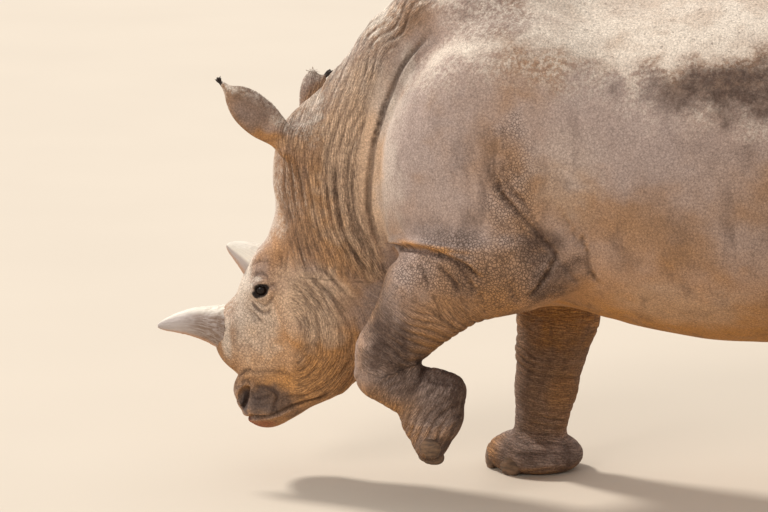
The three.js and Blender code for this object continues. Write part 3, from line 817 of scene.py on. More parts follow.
@dataclass(frozen=True)
class HideFinish:
    """Dry grey-brown hide: fine grain, cracks between plates, creases where it rings, dust on the back,
    with painted sunlight, shade and bounce light.
    """

    base: Colour = linear(156, 121, 92)
    lilac: Colour = linear(170, 151, 142)
    # Orange-brown of the cheeks and ears, also painted bounce light from the floor.
    warm: Colour = linear(188, 132, 70)
    # Soil, also the colour of painted shade in the dark zones.
    soil_and_shade: Colour = linear(84, 66, 57)
    # Pale dust, also the colour of painted sunlight, rim light and highlights.
    dust: Colour = linear(222, 208, 192)
    # Soil and painted shade in cracks and creases.
    crack_shade_and_soil: Colour = linear(66, 48, 38)
    wet: Colour = linear(72, 62, 60)
    lip: Colour = linear(148, 88, 56)
    # Black of the lid rims, also painted shadow of the lids and lashes.
    rim: Colour = linear(30, 23, 21)
    plates: float = 98.0  # how many to the metre
    small_plates: float = 210.0
    grains: float = 240.0
    specks: float = 150.0
    lumps: float = 46.0
    creases: Point = (135.0, 15.0, 1.0)  # how many to the metre across the rings and along them
    thin_creases: Point = (250.0, 60.0, 1.0)
    sway: Span = (9.0, 0.03)  # how fine and how far plates and creases are pushed about
    gloss: float = 0.3

    def material(self) -> Material:
        """Builds the relief, then the colour over it.

        Returns:
            The material.
        """
        g = Graph("hide")
        rings, pebbled, dusty = (g.attribute(name) for name in ("rings", "pebbled", "dusty"))

        # Relief, in millimetres.
        bent = g.warped(g.place, *self.sway)
        plates = g.eased(g.cells(bent, self.plates), 0.0, 0.16)
        small = g.eased(g.cells(bent, self.small_plates), 0.0, 0.2)
        swayed = g.warped(g.attribute("sleeve", "Vector"), *self.sway)
        creases = g.eased(g.cells(g.scaled(swayed, self.creases)), 0.0, 0.2)
        thin = g.eased(g.cells(g.scaled(swayed, self.thin_creases)), 0.0, 0.22)
        plain = g.times(plates, g.eased(pebbled, 0.0, 1.0, (0.3, 2.2)))
        ringed = g.plus(g.times(creases, 2.4), g.times(thin, 1.4))
        relief = g.blended(rings, plain, ringed)
        relief = g.plus(relief, g.times(small, g.eased(pebbled, 0.0, 1.0, (0.35, 0.6))))
        relief = g.plus(relief, g.times(g.noise(g.place, self.grains, 4.0, 0.7), 1.6))
        lumps = g.noise(g.place, self.lumps, 4.0, 0.7)
        relief = g.plus(relief, g.times(lumps, g.eased(dusty, 0.0, 0.5, (0.8, 6.0))))

        colour = self.dirtied(g, self.skinned(g), dusty)
        # Cracks between plates and ring creases darkened as soil and painted shade, and fold grooves as
        # painted shade.
        lined = g.math("SUBTRACT", 1.0, g.times(creases, g.eased(thin, 0.0, 1.0, (0.6, 1.0))))
        cracked = g.times(g.math("SUBTRACT", 1.0, plates), g.eased(pebbled, 0.0, 1.0, (0.22, 0.68)))
        colour = g.mixed(g.blended(rings, cracked, g.times(lined, 0.48)), colour, self.crack_shade_and_soil)
        colour = g.mixed(g.times(g.attribute("groove"), 0.85), colour, self.crack_shade_and_soil)
        fine = g.noise(g.place, self.specks, 4.0, 0.75)
        soft, strong = (g.eased(fine, 0.3, 0.7, to) for to in ((0.74, 1.3), (0.72, 1.56)))
        specks = g.blended(g.math("MAXIMUM", rings, pebbled), soft, strong)
        colour = g.mixed(1.0, colour, g.grey(specks), "MULTIPLY")
        rough = g.eased(g.attribute("wet"), 0.0, 1.0, (0.88, 0.55))
        return g.finish(colour, rough, relief, self.gloss)

    def skinned(self, g: Graph) -> Socket:
        """The colours of clean hide, with painted highlights and painted bounce light.

        Args:
            g: the material's graph.

        Returns:
            The colour.
        """
        clouds = g.eased(g.noise(g.place, 2.6), 0.38, 0.62, (0.0, 0.75))
        colour = g.mixed(clouds, self.base, self.lilac)
        colour = g.mixed(g.attribute("lilac"), colour, self.lilac)
        # Orange-brown zones, and painted bounce light from the floor.
        colour = g.mixed(g.attribute("warm"), colour, self.warm)
        # Pale patches, some of them painted highlights and painted rim light.
        return g.mixed(g.times(g.attribute("pale"), 0.6), colour, self.dust)

    def dirtied(self, g: Graph, colour: Socket, dusty: Socket) -> Socket:
        """Adds soil, dust and clods, painted sunlight and rim light with the dust, painted shade in the
        dark zones, and the dark and wet parts of the face.

        Args:
            g: the material's graph.
            colour: the clean hide's colour.
            dusty: where dust lies, and where sunlight is painted on the tops and rim light on the front of
                the face.

        Returns:
            The colour.
        """
        blots = g.eased(g.noise(g.warped(g.place, 6.0, 0.06), 9.0, 6.0, 0.7), 0.5, 0.7, (0.0, 0.3))
        drips = g.noise(g.scaled(g.warped(g.place, 5.0, 0.03), (9.0, 9.0, 2.2)), 1.0, 5.0, 0.65)
        blots = g.plus(blots, g.eased(drips, 0.52, 0.7, (0.0, 0.42)))
        colour = g.mixed(g.times(blots, g.attribute("soiled")), colour, self.soil_and_shade)
        broken = g.eased(g.noise(g.place, 26.0, 5.0, 0.68), 0.34, 0.62, (0.62, 1.0))
        # Dark zones: soil, and painted shade behind the elbows, above the shoulder's roll, on the withers
        # and beside the neck's crease.
        colour = g.mixed(g.times(g.attribute("dark_stain"), broken), colour, self.soil_and_shade)
        # Dust on what faces up, with painted sunlight on the tops and painted rim light on the front of the
        # face.
        dust_and_sun_share = g.eased(g.noise(g.place, 60.0, 5.0, 0.75), 0.4, 0.6)
        dust_and_sun_share = g.times(g.math("MAXIMUM", dust_and_sun_share, g.eased(dusty, 0.5, 1.0)), dusty)
        patchy = g.eased(g.noise(g.place, 5.0, 5.0, 0.65), 0.36, 0.6, (0.6, 1.0))
        colour = g.mixed(g.times(dust_and_sun_share, patchy), colour, self.dust)
        clods = g.eased(g.noise(g.place, 64.0, 4.0, 0.7), 0.58, 0.7, (0.0, 0.55))
        colour = g.mixed(g.times(clods, dusty), colour, self.soil_and_shade)
        # Lip colour, wet dark skin, and black lid rims with painted shadow of the lids and lashes.
        for name, stain in (("red", self.lip), ("wet", self.wet), ("black", self.rim)):
            colour = g.mixed(g.attribute(name), colour, stain)
        return colour


@dataclass(frozen=True)
class HornFinish:
    """Horn: grey and brown in streaks along its fibres, with painted bounce light beneath and painted
    sunlight above.
    """

    pale: Colour = linear(180, 168, 162)
    brown: Colour = linear(116, 92, 74)
    # Painted bounce light beneath.
    warm: Colour = linear(190, 128, 74)
    # Painted sunlight above.
    worn: Colour = linear(244, 236, 220)
    fibres: Point = (7.0, 320.0, 1.0)  # how many to the metre along the horn and round it
    streaks: Point = (22.0, 75.0, 1.0)
    roughness: float = 0.62

    def material(self) -> Material:
        """Builds the colour, with the fibres as relief.

        Returns:
            The material.
        """
        g = Graph("horn")
        grain = g.attribute("grain", "Vector")
        fibre = g.noise(g.scaled(grain, self.fibres), 1.0, 3.0, 0.6)
        mottle = g.noise(g.scaled(grain, self.streaks), 1.0, 5.0, 0.75)
        share = g.times(g.eased(mottle, 0.34, 0.62, (0.4, 1.0)), g.attribute("foot"))
        share = g.plus(share, g.eased(fibre, 0.45, 0.7, (0.0, 0.22)))
        colour = g.mixed(g.math("MINIMUM", share, 1.0), self.pale, self.brown)
        # Painted bounce light beneath, then painted sunlight above, broken up along the fibres.
        colour = g.mixed(g.attribute("under"), colour, self.warm)
        sunlit_grain = g.eased(fibre, 0.3, 0.6, (1.0, 0.72))
        colour = g.mixed(g.times(g.attribute("worn"), sunlit_grain), colour, self.worn)
        return g.finish(colour, self.roughness, g.plus(g.times(fibre, 2.2), mottle))


@dataclass(frozen=True)
class EyeFinish:
    """A wet, nearly black eye, mottled with dark brown."""

    pupil: Colour = linear(14, 11, 10)
    iris: Colour = linear(46, 30, 22)
    roughness: float = 0.16
    gloss: float = 0.22

    def material(self) -> Material:
        """Builds the finish.

        Returns:
            The material.
        """
        g = Graph("eye")
        colour = g.mixed(g.eased(g.noise(g.place, 400.0, 2.0), 0.4, 0.7), self.pupil, self.iris)
        return g.finish(colour, self.roughness, gloss=self.gloss)


@dataclass(frozen=True)
class NailFinish:
    """Dull, dusty nail with growth rings."""

    pale: Colour = linear(124, 96, 72)
    dark: Colour = linear(84, 65, 50)
    rings: Point = (30.0, 30.0, 90.0)
    roughness: float = 0.8

    def material(self) -> Material:
        """Builds the finish.

        Returns:
            The material.
        """
        g = Graph("nail")
        rings = g.noise(g.scaled(g.place, self.rings), 1.0, 4.0, 0.65)
        colour = g.mixed(g.eased(rings, 0.35, 0.65), self.dark, self.pale)
        return g.finish(colour, self.roughness, g.times(rings, 0.8))


@dataclass(frozen=True)
class HairFinish:
    """Coarse bristle between two colours."""

    name: str
    dark: Colour
    light: Colour
    roughness: float = 0.6

    def material(self) -> Material:
        """Builds the finish.

        Returns:
            The material.
        """
        g = Graph(self.name)
        colour = g.mixed(g.eased(g.noise(g.place, 120.0, 2.0), 0.4, 0.7), self.dark, self.light)
        return g.finish(colour, self.roughness)


# The hide's rings, folds and marks ---------------------------


def within(points: Array, low: Point, high: Point, soft: float) -> Array:
    """How much points lie inside a box with soft faces.

    Args:
        points: places, in millimetres.
        low: the box's lowest corner.
        high: its highest.
        soft: how far each face fades to both sides.

    Returns:
        A share for each, from 0 to 1.
    """
    share = np.ones(len(points))
    for n in range(3):
        share *= ease(points[:, n], low[n] - soft, low[n] + soft)
        share *= 1 - ease(points[:, n], high[n] - soft, high[n] + soft)
    return share


@dataclass(frozen=True)
class Sleeve:
    """A stretch of the body that creases in rings about its axis."""

    axis: Sequence[Point]
    girth: float
    low: Point
    high: Point
    soft: float = 60.0

    def measured(self, points: Array) -> tuple[Array, Array, Array]:
        """How far along and around each point lies, and how much it belongs.

        Args:
            points: places, in millimetres.

        Returns:
            Along and around, in millimetres, and a share from 0 to 1.
        """
        best = np.full(len(points), np.inf)
        along, around = np.zeros(len(points)), np.zeros(len(points))
        run = 0.0
        for start, end in zip(self.axis, self.axis[1:]):
            a, way = np.array(start, float), np.array(end, float) - np.array(start, float)
            length = np.linalg.norm(way)
            way /= length
            off = points - a
            t = np.clip(off @ way, 0, length)
            side = off - t[:, None] * way
            gap = np.linalg.norm(side, axis=1)
            nearer = gap < best
            best = np.where(nearer, gap, best)
            over = off @ way
            first, last = start == self.axis[0], end == self.axis[-1]
            t = np.where((over < 0) & first, over, t)
            t = np.where((over > length) & last, over, t)
            along = np.where(nearer, run + t, along)
            across = np.cross(way, np.array([0.0, 1.0, 0.0]))
            angle = np.arctan2(side[:, 1], side @ across)
            around = np.where(nearer, np.abs(angle) * self.girth, around)
            run += length
        return along, around, within(points, self.low, self.high, self.soft)


@dataclass(frozen=True)
class Whorl:
    """A stretch of the body's sides that creases in arcs about a middle, drawn from the side as (x, z)."""

    middle: Span
    span: Span
    low: Point
    high: Point
    facing: float
    soft: float

    def measured(self, points: Array) -> tuple[Array, Array, Array]:
        """How far from the middle and around it each point lies, and how much it belongs.

        Args:
            points: places, in millimetres.

        Returns:
            Out and around, in millimetres, and a share from 0 to 1.
        """
        x, z = points[:, 0] - self.middle[0], points[:, 2] - self.middle[1]
        along = np.hypot(x, z)
        around = np.arctan2(z, x * self.facing) * sum(self.span) / 2
        share = ease(along, self.span[0] - self.soft, self.span[0] + self.soft)
        share *= 1 - ease(along, self.span[1] - self.soft, self.span[1] + self.soft)
        return along, around, share * within(points, self.low, self.high, self.soft)


class Toward(Enum):
    """Where a line is drawn from, with the way to there and the axes of its pairs and its core."""

    SIDE = ((0.0, -1.0, 0.0), (0, 2, 1))
    FRONT = ((-1.0, 0.0, 0.0), (1, 2, 0))


@dataclass(frozen=True)
class Fold:
    """A crease pressed along a line, with a swelling beside it.

    The line is drawn from one side, as pairs, and pushed out to the skin from a depth called its core.
    Left and right are seen walking along the line on the skin. Its groove is darkened in colour, as painted
    shade.
    """

    line: Sequence[Span]
    depth: float
    width: float
    left: float = 0.0
    right: float = 0.0
    core: float = 0.0
    toward: Toward = Toward.SIDE
    both: bool = True
    soft: float = 0.2
    # how strongly its groove is darkened as painted shade
    stain: float = 1.0

    SPACING = 5.0  # of the points along the line
    REACH = (4.5, 6.0)  # how far it is felt: so many widths and so much more
    WANDER = 0.35  # in widths, how far it strays from its line
    SWELLINGS = (2.1, 1.9)  # how far off the line, and how wide, in widths
    RUNS_OUT = (40, 80)  # how far above or below its line it ends
    STRENGTH, PATCHINESS = 0.85, 0.3  # and how unevenly it is pressed in
    STAINED = 0.8  # in widths, how wide its groove is darkened as painted shade
    FULL_STAIN = 8.0  # the depth at which a groove's painted shade is full

    def starts(self) -> Array:
        """Draws a smooth curve through the line's points.

        Returns:
            Points along the fold, at the depth of its core.
        """
        line = np.array(self.line, float)
        ends = np.vstack([2 * line[0] - line[1], line, 2 * line[-1] - line[-2]])
        parts = []
        for a, b, c, d in zip(ends, ends[1:], ends[2:], ends[3:]):
            count = max(2, round(np.linalg.norm(c - b) / self.SPACING))
            t = np.linspace(0, 1, count, endpoint=False)[:, None]
            square, cube = (2 * a - 5 * b + 4 * c - d) * t**2, (3 * b - a - 3 * c + d) * t**3
            parts.append(b + 0.5 * ((c - a) * t + square + cube))
        pairs = np.vstack([*parts, line[-1:]])
        start = np.zeros((len(pairs), 3))
        start[:, self.toward.value[1]] = np.column_stack([pairs, np.full(len(pairs), self.core)])
        return start

    def pressed(self, run: Array, points: Array, normals: Array) -> tuple[Array, Array]:
        """Presses the fold into the skin.

        Args:
            run: points along the fold on the skin.
            points: the skin's points.
            normals: the normal at each.

        Returns:
            How far each point moves out, in millimetres, and how much painted shade its groove gives it, up
            to 1.
        """
        height, groove = np.zeros(len(points)), np.zeros(len(points))
        reach = self.REACH[0] * self.width + self.REACH[1]
        offset, spread = self.SWELLINGS
        middles = (run[:-1] + run[1:]) / 2
        ways = run[1:] - run[:-1]
        ways /= np.linalg.norm(ways, axis=1, keepdims=True) + 1e-9
        for side in (1, -1) if self.both else (1,):
            flip = np.array([1, side, 1])
            inside = ((points * flip > run.min(0) - reach) & (points * flip < run.max(0) + reach)).all(1)
            near = np.flatnonzero(inside)
            if not len(near):
                continue
            p, n = points[near] * flip, normals[near] * flip
            gaps = (p**2).sum(1)[:, None] - 2 * p @ middles.T + (middles**2).sum(1)[None]
            pick = gaps.argmin(1)
            off = p - middles[pick]
            off -= (off * ways[pick]).sum(1, keepdims=True) * ways[pick]
            aside = (off * np.cross(ways[pick], n)).sum(1)
            away = np.abs((off * n).sum(1))
            aside += self.WANDER * self.width * lattice_noise(p, 5 * self.width + 10, 11)
            t = pick / (len(middles) - 1)
            share = ease(t, 0, self.soft) * ease(1 - t, 0, self.soft) * (1 - ease(away, *self.RUNS_OUT))
            share *= self.STRENGTH + self.PATCHINESS * lattice_noise(p, 70, 12)
            out = -self.depth * np.exp(-((aside / self.width) ** 2))
            for swell, at in ((self.left, -offset), (self.right, offset)):
                out += swell * np.exp(-((aside / self.width - at) ** 2) / spread)
            height[near] += out * share
            dark = np.exp(-((aside / (self.STAINED * self.width)) ** 2)) * share
            dark *= min(1.0, self.stain * self.depth / self.FULL_STAIN)
            groove[near] = np.maximum(groove[near], dark)
        return height, groove


RAISED_LEG_CORE = -335.0


def leg_fold(line: Sequence[Span], depth: float, width: float, right: float = 0.0) -> Fold:
    """A fold of the raised foreleg."""
    return Fold(line, depth, width, right=right, core=RAISED_LEG_CORE, both=False)


FOLDS = (
    # Neck against the shoulder.
    Fold(((-245, 1550), (-370, 1400), (-445, 1190), (-472, 970), (-434, 810), (-405, 755)), 18, 9, left=7),
    Fold(((-590, 1120), (-582, 980), (-555, 845), (-476, 722), (-438, 695)), 12, 9, left=10),
    Fold(((-522, 1115), (-529, 1000), (-516, 910), (-482, 820), (-420, 725)), 10, 8, left=6),
    Fold(((-495, 1220), (-538, 1110), (-544, 1000), (-526, 900), (-450, 730)), 7, 6, left=3),
    Fold(((-588, 1218), (-618, 1120), (-618, 990), (-590, 860), (-506, 711)), 7, 7, left=4),
    Fold(((-470, 1310), (-500, 1200), (-514, 1095), (-508, 1000)), 5, 6, left=2),
    Fold(((-640, 1160), (-650, 1040), (-630, 930), (-590, 810)), 4, 6),
    # The roll of the shoulder over the foreleg.
    Fold(
        ((-420, 820), (-355, 830), (-290, 845), (-240, 850), (-185, 845), (-130, 830), (-80, 805),
         (-40, 765)),
        24, 8, left=15, both=False, soft=0.12,
    ),
    Fold(((-410, 795), (-330, 805), (-240, 820), (-150, 805)), 8, 24, both=False, stain=0.0),
    Fold(((-210, 820), (-165, 790), (-130, 750), (-120, 700)), 7, 7, both=False),
    Fold(((-140, 840), (-105, 800), (-80, 755), (-75, 700)), 7, 7, left=2, both=False),
    Fold(((-265, 820), (-235, 775), (-220, 720)), 6, 7, both=False),
    # Behind the elbow.
    Fold(
        ((-15, 1160), (10, 1065), (50, 1015), (90, 975), (140, 915), (186, 858), (172, 812), (142, 763),
         (108, 714), (80, 670)),
        13, 7, right=5, soft=0.14,
    ),
    Fold(((205, 840), (225, 790), (255, 745)), 4, 6),
    Fold(((160, 745), (190, 735), (225, 740)), 3, 5),
    Fold(((135, 705), (170, 700), (205, 710)), 3, 5),
    Fold(((-10, 1270), (2, 1100), (74, 1034), (115, 950)), 4, 7),
    Fold(((10, 1190), (34, 1088), (96, 1015), (141, 932), (174, 872)), 5, 7),
    Fold(((-26, 1220), (-18, 1100), (42, 1023), (81, 950), (116, 886)), 5, 7),
    Fold(((-55, 1120), (-30, 1030), (20, 950), (60, 880)), 3, 6),
    Fold(((15, 1290), (25, 1190), (60, 1120), (100, 1080)), 3, 6),
    # Flank.
    Fold(((257, 946), (281, 872), (297, 782), (322, 734)), 8, 7, left=5),
    Fold(((188, 1027), (238, 939), (258, 879)), 4, 6, left=2),
    Fold(((1130, 1180), (1165, 1010), (1190, 860), (1180, 740)), 14, 18, left=7, right=5, stain=0.25),
    Fold(((1085, 1080), (1115, 930), (1130, 800)), 6, 12, left=3, stain=0.25),
    # The raised foreleg.
    leg_fold(((-128, 768), (-107, 675)), 5, 6),
    leg_fold(((41, 781), (65, 681)), 6, 6),
    leg_fold(((-94, 780), (-47, 705), (-40, 625)), 5, 6),
    leg_fold(((-208, 729), (-175, 600)), 4, 6),
    leg_fold(((-300, 716), (-307, 640)), 3, 6),
    leg_fold(((-282, 490), (-262, 430), (-275, 398), (-317, 367)), 8, 8, right=4),
    Fold(((-245, 412), (-201, 405), (-150, 400)), 6, 7, right=3, core=-330, both=False),
    leg_fold(((-330, 470), (-310, 420), (-330, 385)), 4, 7),
    # Muzzle, mouth and jaw.
    Fold(((-935, 338), (-896, 347), (-825, 356), (-770, 346), (-720, 330)), 5, 6, right=2),
    Fold(((-940, 318), (-905, 326), (-860, 322)), 4, 5),
    Fold(((-902, 312), (-908, 272), (-922, 232), (-938, 206)), 16, 8, left=4, right=2),
    Fold(((-945, 328), (-930, 342), (-915, 351), (-893, 357)), 8, 6),
    Fold(((-936, 308), (-921, 317), (-909, 319), (-902, 311), (-899, 300)), 8, 6),
    Fold(((-899, 302), (-872, 301), (-837, 298), (-810, 287), (-789, 267)), 9, 7, right=3),
    Fold(((-892, 267), (-863, 268), (-835, 271), (-813, 281)), 8, 6, left=2),
    Fold(((-880, 284), (-850, 286), (-825, 281)), 5, 6),
    Fold(((-884, 245), (-855, 243), (-825, 250)), 5, 6),
    Fold(((-791, 284), (-801, 261), (-809, 244), (-817, 217), (-834, 195)), 6, 7, right=2),
    Fold(((-808, 240), (-806, 226), (-798, 212), (-785, 216)), 7, 6),
    Fold(((-785, 267), (-744, 275), (-710, 277)), 6, 6),
    Fold(((-905, 196), (-883, 197), (-865, 198), (-845, 201), (-828, 205)), 14, 9, soft=0.15),
    Fold(
        ((-938, 181), (-888, 190), (-844, 197), (-805, 214), (-773, 229), (-716, 253), (-655, 275),
         (-615, 296)),
        15, 7, left=5, right=3,
    ),
    Fold(
        ((-110, 186), (-60, 178), (0, 175), (60, 178), (110, 186)),
        17, 7, left=2, right=3, core=-860, toward=Toward.FRONT, both=False, soft=0.05,
    ),
    Fold(((-798, 276), (-808, 228)), 5, 5),
    Fold(((-781, 288), (-783, 240)), 4, 5),
    Fold(((-768, 271), (-752, 238)), 4, 5),
    Fold(((-822, 268), (-836, 226)), 3, 5),
    Fold(((-527, 477), (-570, 383), (-663, 302), (-755, 264), (-798, 281)), 5, 7),
    Fold(((-545, 513), (-590, 412), (-682, 330), (-761, 302)), 4, 7),
    # Round the eye.
    Fold(((-880, 603), (-865, 588), (-848, 579), (-830, 588), (-814, 610), (-801, 633)), 6, 6, right=1),
    Fold(((-905, 592), (-884, 574), (-868, 560), (-850, 551), (-833, 557), (-815, 578)), 8, 6, right=2),
    Fold(((-906, 558), (-881, 543), (-869, 528), (-850, 512)), 6, 6, left=1),
    Fold(((-917, 583), (-895, 541), (-864, 492)), 4, 6, soft=0.3),
    Fold(((-826, 650), (-810, 657), (-790, 657)), 6, 5, soft=0.4),
    Fold(((-886, 664), (-873, 687), (-852, 696), (-832, 687), (-820, 666)), 8, 6, left=2, soft=0.3),
    Fold(((-905, 700), (-872, 726), (-835, 732), (-800, 705)), 4, 6, soft=0.3),
    Fold(((-785, 775), (-787, 700)), 7, 6, soft=0.3),
    Fold(((-764, 800), (-770, 720), (-778, 680)), 6, 6, soft=0.3),
    # Cheek.
    Fold(((-700, 709), (-636, 664), (-578, 610), (-539, 562)), 6, 7, right=1),
    Fold(((-729, 680), (-671, 632), (-616, 574), (-577, 513)), 5, 6),
    Fold(((-672, 745), (-608, 699), (-551, 641), (-515, 597)), 6, 7, right=1),
    Fold(((-770, 690), (-715, 648), (-672, 590), (-646, 517), (-650, 440)), 4, 6),
    Fold(((-745, 715), (-690, 672), (-645, 610), (-615, 540), (-612, 470)), 4, 6),
    Fold(((-715, 580), (-698, 520), (-700, 455)), 4, 6),
)


def fold_runs(folds: Sequence[Fold], flesh: Flesh, longest: float = 620.0) -> list[Array]:
    """Points along each fold on the skin.

    Args:
        folds: the folds.
        flesh: the flesh that they lie on.
        longest: the longest way from a fold's core to the skin.

    Returns:
        An array of points for each fold.
    """
    starts = [fold.starts() for fold in folds]
    ways = [np.tile(fold.toward.value[0], (len(start), 1)) for fold, start in zip(folds, starts)]
    found = flesh.surface_along(np.concatenate(starts), np.concatenate(ways), longest)
    return np.split(found, np.cumsum([len(start) for start in starts])[:-1])


class Mark(Enum):
    """What a zone of the skin is stained with or shows more of, or the painted light or shade that it gets.
    """

    DARK = "dark_stain"
    WARM = "warm"
    PALE = "pale"
    LILAC = "lilac"
    PEBBLED = "pebbled"
    WET = "wet"
    RED = "red"
    BLACK = "black"


@dataclass(frozen=True)
class Zone:
    """A soft patch of skin, as a rough-edged ellipsoid."""

    at: Point
    radii: Point
    share: float = 1.0
    both: bool = True
    soft: float = 0.35

    ROUGHNESS = 0.8  # of its edge, in softnesses

    def worn(self, points: Array, rough: Array) -> Array:
        """How much of its mark points have.

        Args:
            points: places, in millimetres.
            rough: noise from -1 to 1 at each.

        Returns:
            A share for each.
        """
        best = np.zeros(len(points))
        for side in (1, -1) if self.both else (1,):
            off = (points * np.array([1, side, 1]) - np.array(self.at)) / np.array(self.radii)
            level = np.sqrt((off**2).sum(1)) + self.ROUGHNESS * self.soft * rough
            best = np.maximum(best, 1 - ease(level, 0.9 - self.soft, 0.9 + self.soft))
        return self.share * best


ZONES = {
    Mark.DARK: (
        Zone((-350, -380, 520), (100, 180, 120), 0.95, both=False),  # knee
        Zone((-330, -335, 405), (130, 180, 75), 0.7, both=False),  # wrist
        Zone((-190, -335, 340), (90, 170, 115), 1.0, both=False),  # raised foot
        Zone((-215, -325, 175), (100, 160, 80), 0.95, both=False),  # its toes
        Zone((40, 290, 330), (300, 230, 430), 0.2, both=False),  # standing foreleg
        Zone((0, 268, 20), (190, 180, 80), 0.75, both=False),  # its foot
        Zone((190, -430, 770), (105, 110, 90), 0.8, both=False, soft=0.6),  # behind the elbow: painted shade, with the next two
        Zone((190, 430, 790), (95, 110, 100), 0.45, both=False, soft=0.6),
        Zone((150, -460, 880), (75, 80, 75), 0.9, both=False),
        # painted shade above the shoulder's roll
        Zone((-220, -460, 915), (220, 120, 50), 0.4, both=False),
        Zone((950, -450, 1000), (750, 250, 420), 0.2),  # flank
        Zone((-40, -460, 760), (180, 150, 90), 0.25, both=False),
        Zone((870, -400, 1385), (450, 190, 125), 1.0),  # along the back
        Zone((800, -430, 1230), (45, 120, 130), 0.5, both=False),
        Zone((930, -430, 1200), (40, 120, 150), 0.6, both=False),
        Zone((405, -450, 856), (50, 100, 50), 0.35, both=False),
        Zone((903, -450, 1018), (40, 120, 70), 0.55, both=False),
        Zone((-60, -300, 1620), (190, 160, 130), 0.45),  # withers: painted shadow
        # painted shade beside the neck's crease with the shoulder
        Zone((-340, -190, 1450), (110, 150, 190), 0.35),
        Zone((-680, -150, 820), (90, 80, 80), 0.4),  # temple
        Zone((-760, -130, 960), (90, 100, 170), 0.3),  # forehead
        Zone((-890, -190, 1240), (120, 60, 120), 0.5, both=False),  # ears
        Zone((-720, 205, 1240), (80, 60, 90), 0.25, both=False),
        Zone((1600, 0, 330), (420, 420, 300), 0.45),  # hind feet
    ),
    Mark.WET: (
        Zone((-838, -130, 252), (104, 80, 56), 0.78),  # upper lip
        Zone((-920, -120, 250), (26, 60, 60), 0.95),  # nostril
    ),
    Mark.BLACK: (
        Zone((-853, -162, 637), (27, 60, 25), soft=0.12),  # rims of the lids, dark, with painted shadow of the lids and lashes
        Zone((-868, -162, 622), (19, 60, 15), soft=0.15),
        Zone((-837, -162, 648), (19, 60, 14), soft=0.15),
    ),
    Mark.RED: (
        Zone((-890, 0, 158), (120, 170, 34)),  # lower lip
    ),
    Mark.LILAC: (
        Zone((-210, -460, 900), (250, 120, 40), both=False),  # the shoulder's roll: painted blue-grey shade above its lip
        Zone((-240, -300, 1180), (220, 220, 260), 0.95),
        Zone((330, -450, 1250), (330, 220, 200), 0.8),
        Zone((-330, -460, 690), (70, 150, 120), 0.6, both=False),
    ),
    Mark.WARM: (
        Zone((700, 0, 560), (1000, 480, 190), 1.0),  # belly: painted bounce light from the floor
        Zone((-650, -110, 390), (290, 210, 230), 0.8),  # cheek and jaw
        Zone((-700, -180, 590), (160, 120, 150), 1.0, soft=0.5),
        Zone((-740, -140, 880), (190, 110, 260), 0.55),  # forehead
        Zone((-560, -200, 1020), (190, 130, 380), 0.85),  # neck
        Zone((-140, -450, 640), (190, 150, 110), 0.4, both=False),
        Zone((100, 290, 240), (50, 150, 150), 0.5, both=False),
        Zone((-130, 230, 30), (60, 80, 60), 0.8, both=False),
        Zone((-230, -430, 858), (250, 120, 14), 0.9, both=False),  # lip of the roll: painted bounce light
        Zone((-840, -190, 1150), (90, 70, 40), 0.8, both=False),  # ears
        Zone((-730, 205, 1210), (60, 60, 90), 0.8, both=False),
        Zone((560, -430, 700), (380, 160, 160), 0.5, soft=0.5),
    ),
    Mark.PALE: (
        Zone((-500, -230, 1150), (220, 180, 420), 0.65),  # neck
        Zone((-880, -80, 540), (120, 150, 150), 0.85),  # nose
        Zone((-925, -60, 640), (50, 60, 110), 1.0),  # beside the rear horn: painted rim light
        Zone((-985, -60, 470), (26, 70, 90), 1.0),  # round the front horn: painted rim light
        Zone((-850, -120, 420), (130, 110, 90), 0.35),
        Zone((-690, -180, 600), (150, 120, 140), 0.75),  # cheek
        Zone((-345, -215, 1400), (34, 60, 90), 0.85),  # the shoulder's edge: painted highlight, with the next
        Zone((-398, -205, 1270), (24, 60, 85), 1.0),
        Zone((-866, -160, 675), (22, 30, 9), 0.9),  # upper lid: painted highlight
        Zone((560, -430, 670), (280, 160, 110), 0.3),  # low on the ribs
        Zone((230, -450, 1110), (140, 120, 140), 0.25),
    ),
    Mark.PEBBLED: (
        Zone((-60, -420, 780), (330, 250, 160)),
        Zone((50, -440, 1010), (95, 160, 290), 0.7),
        Zone((-250, -360, 640), (200, 250, 180), 0.9),
        Zone((-830, -100, 430), (260, 240, 400), 0.42),
    ),
}


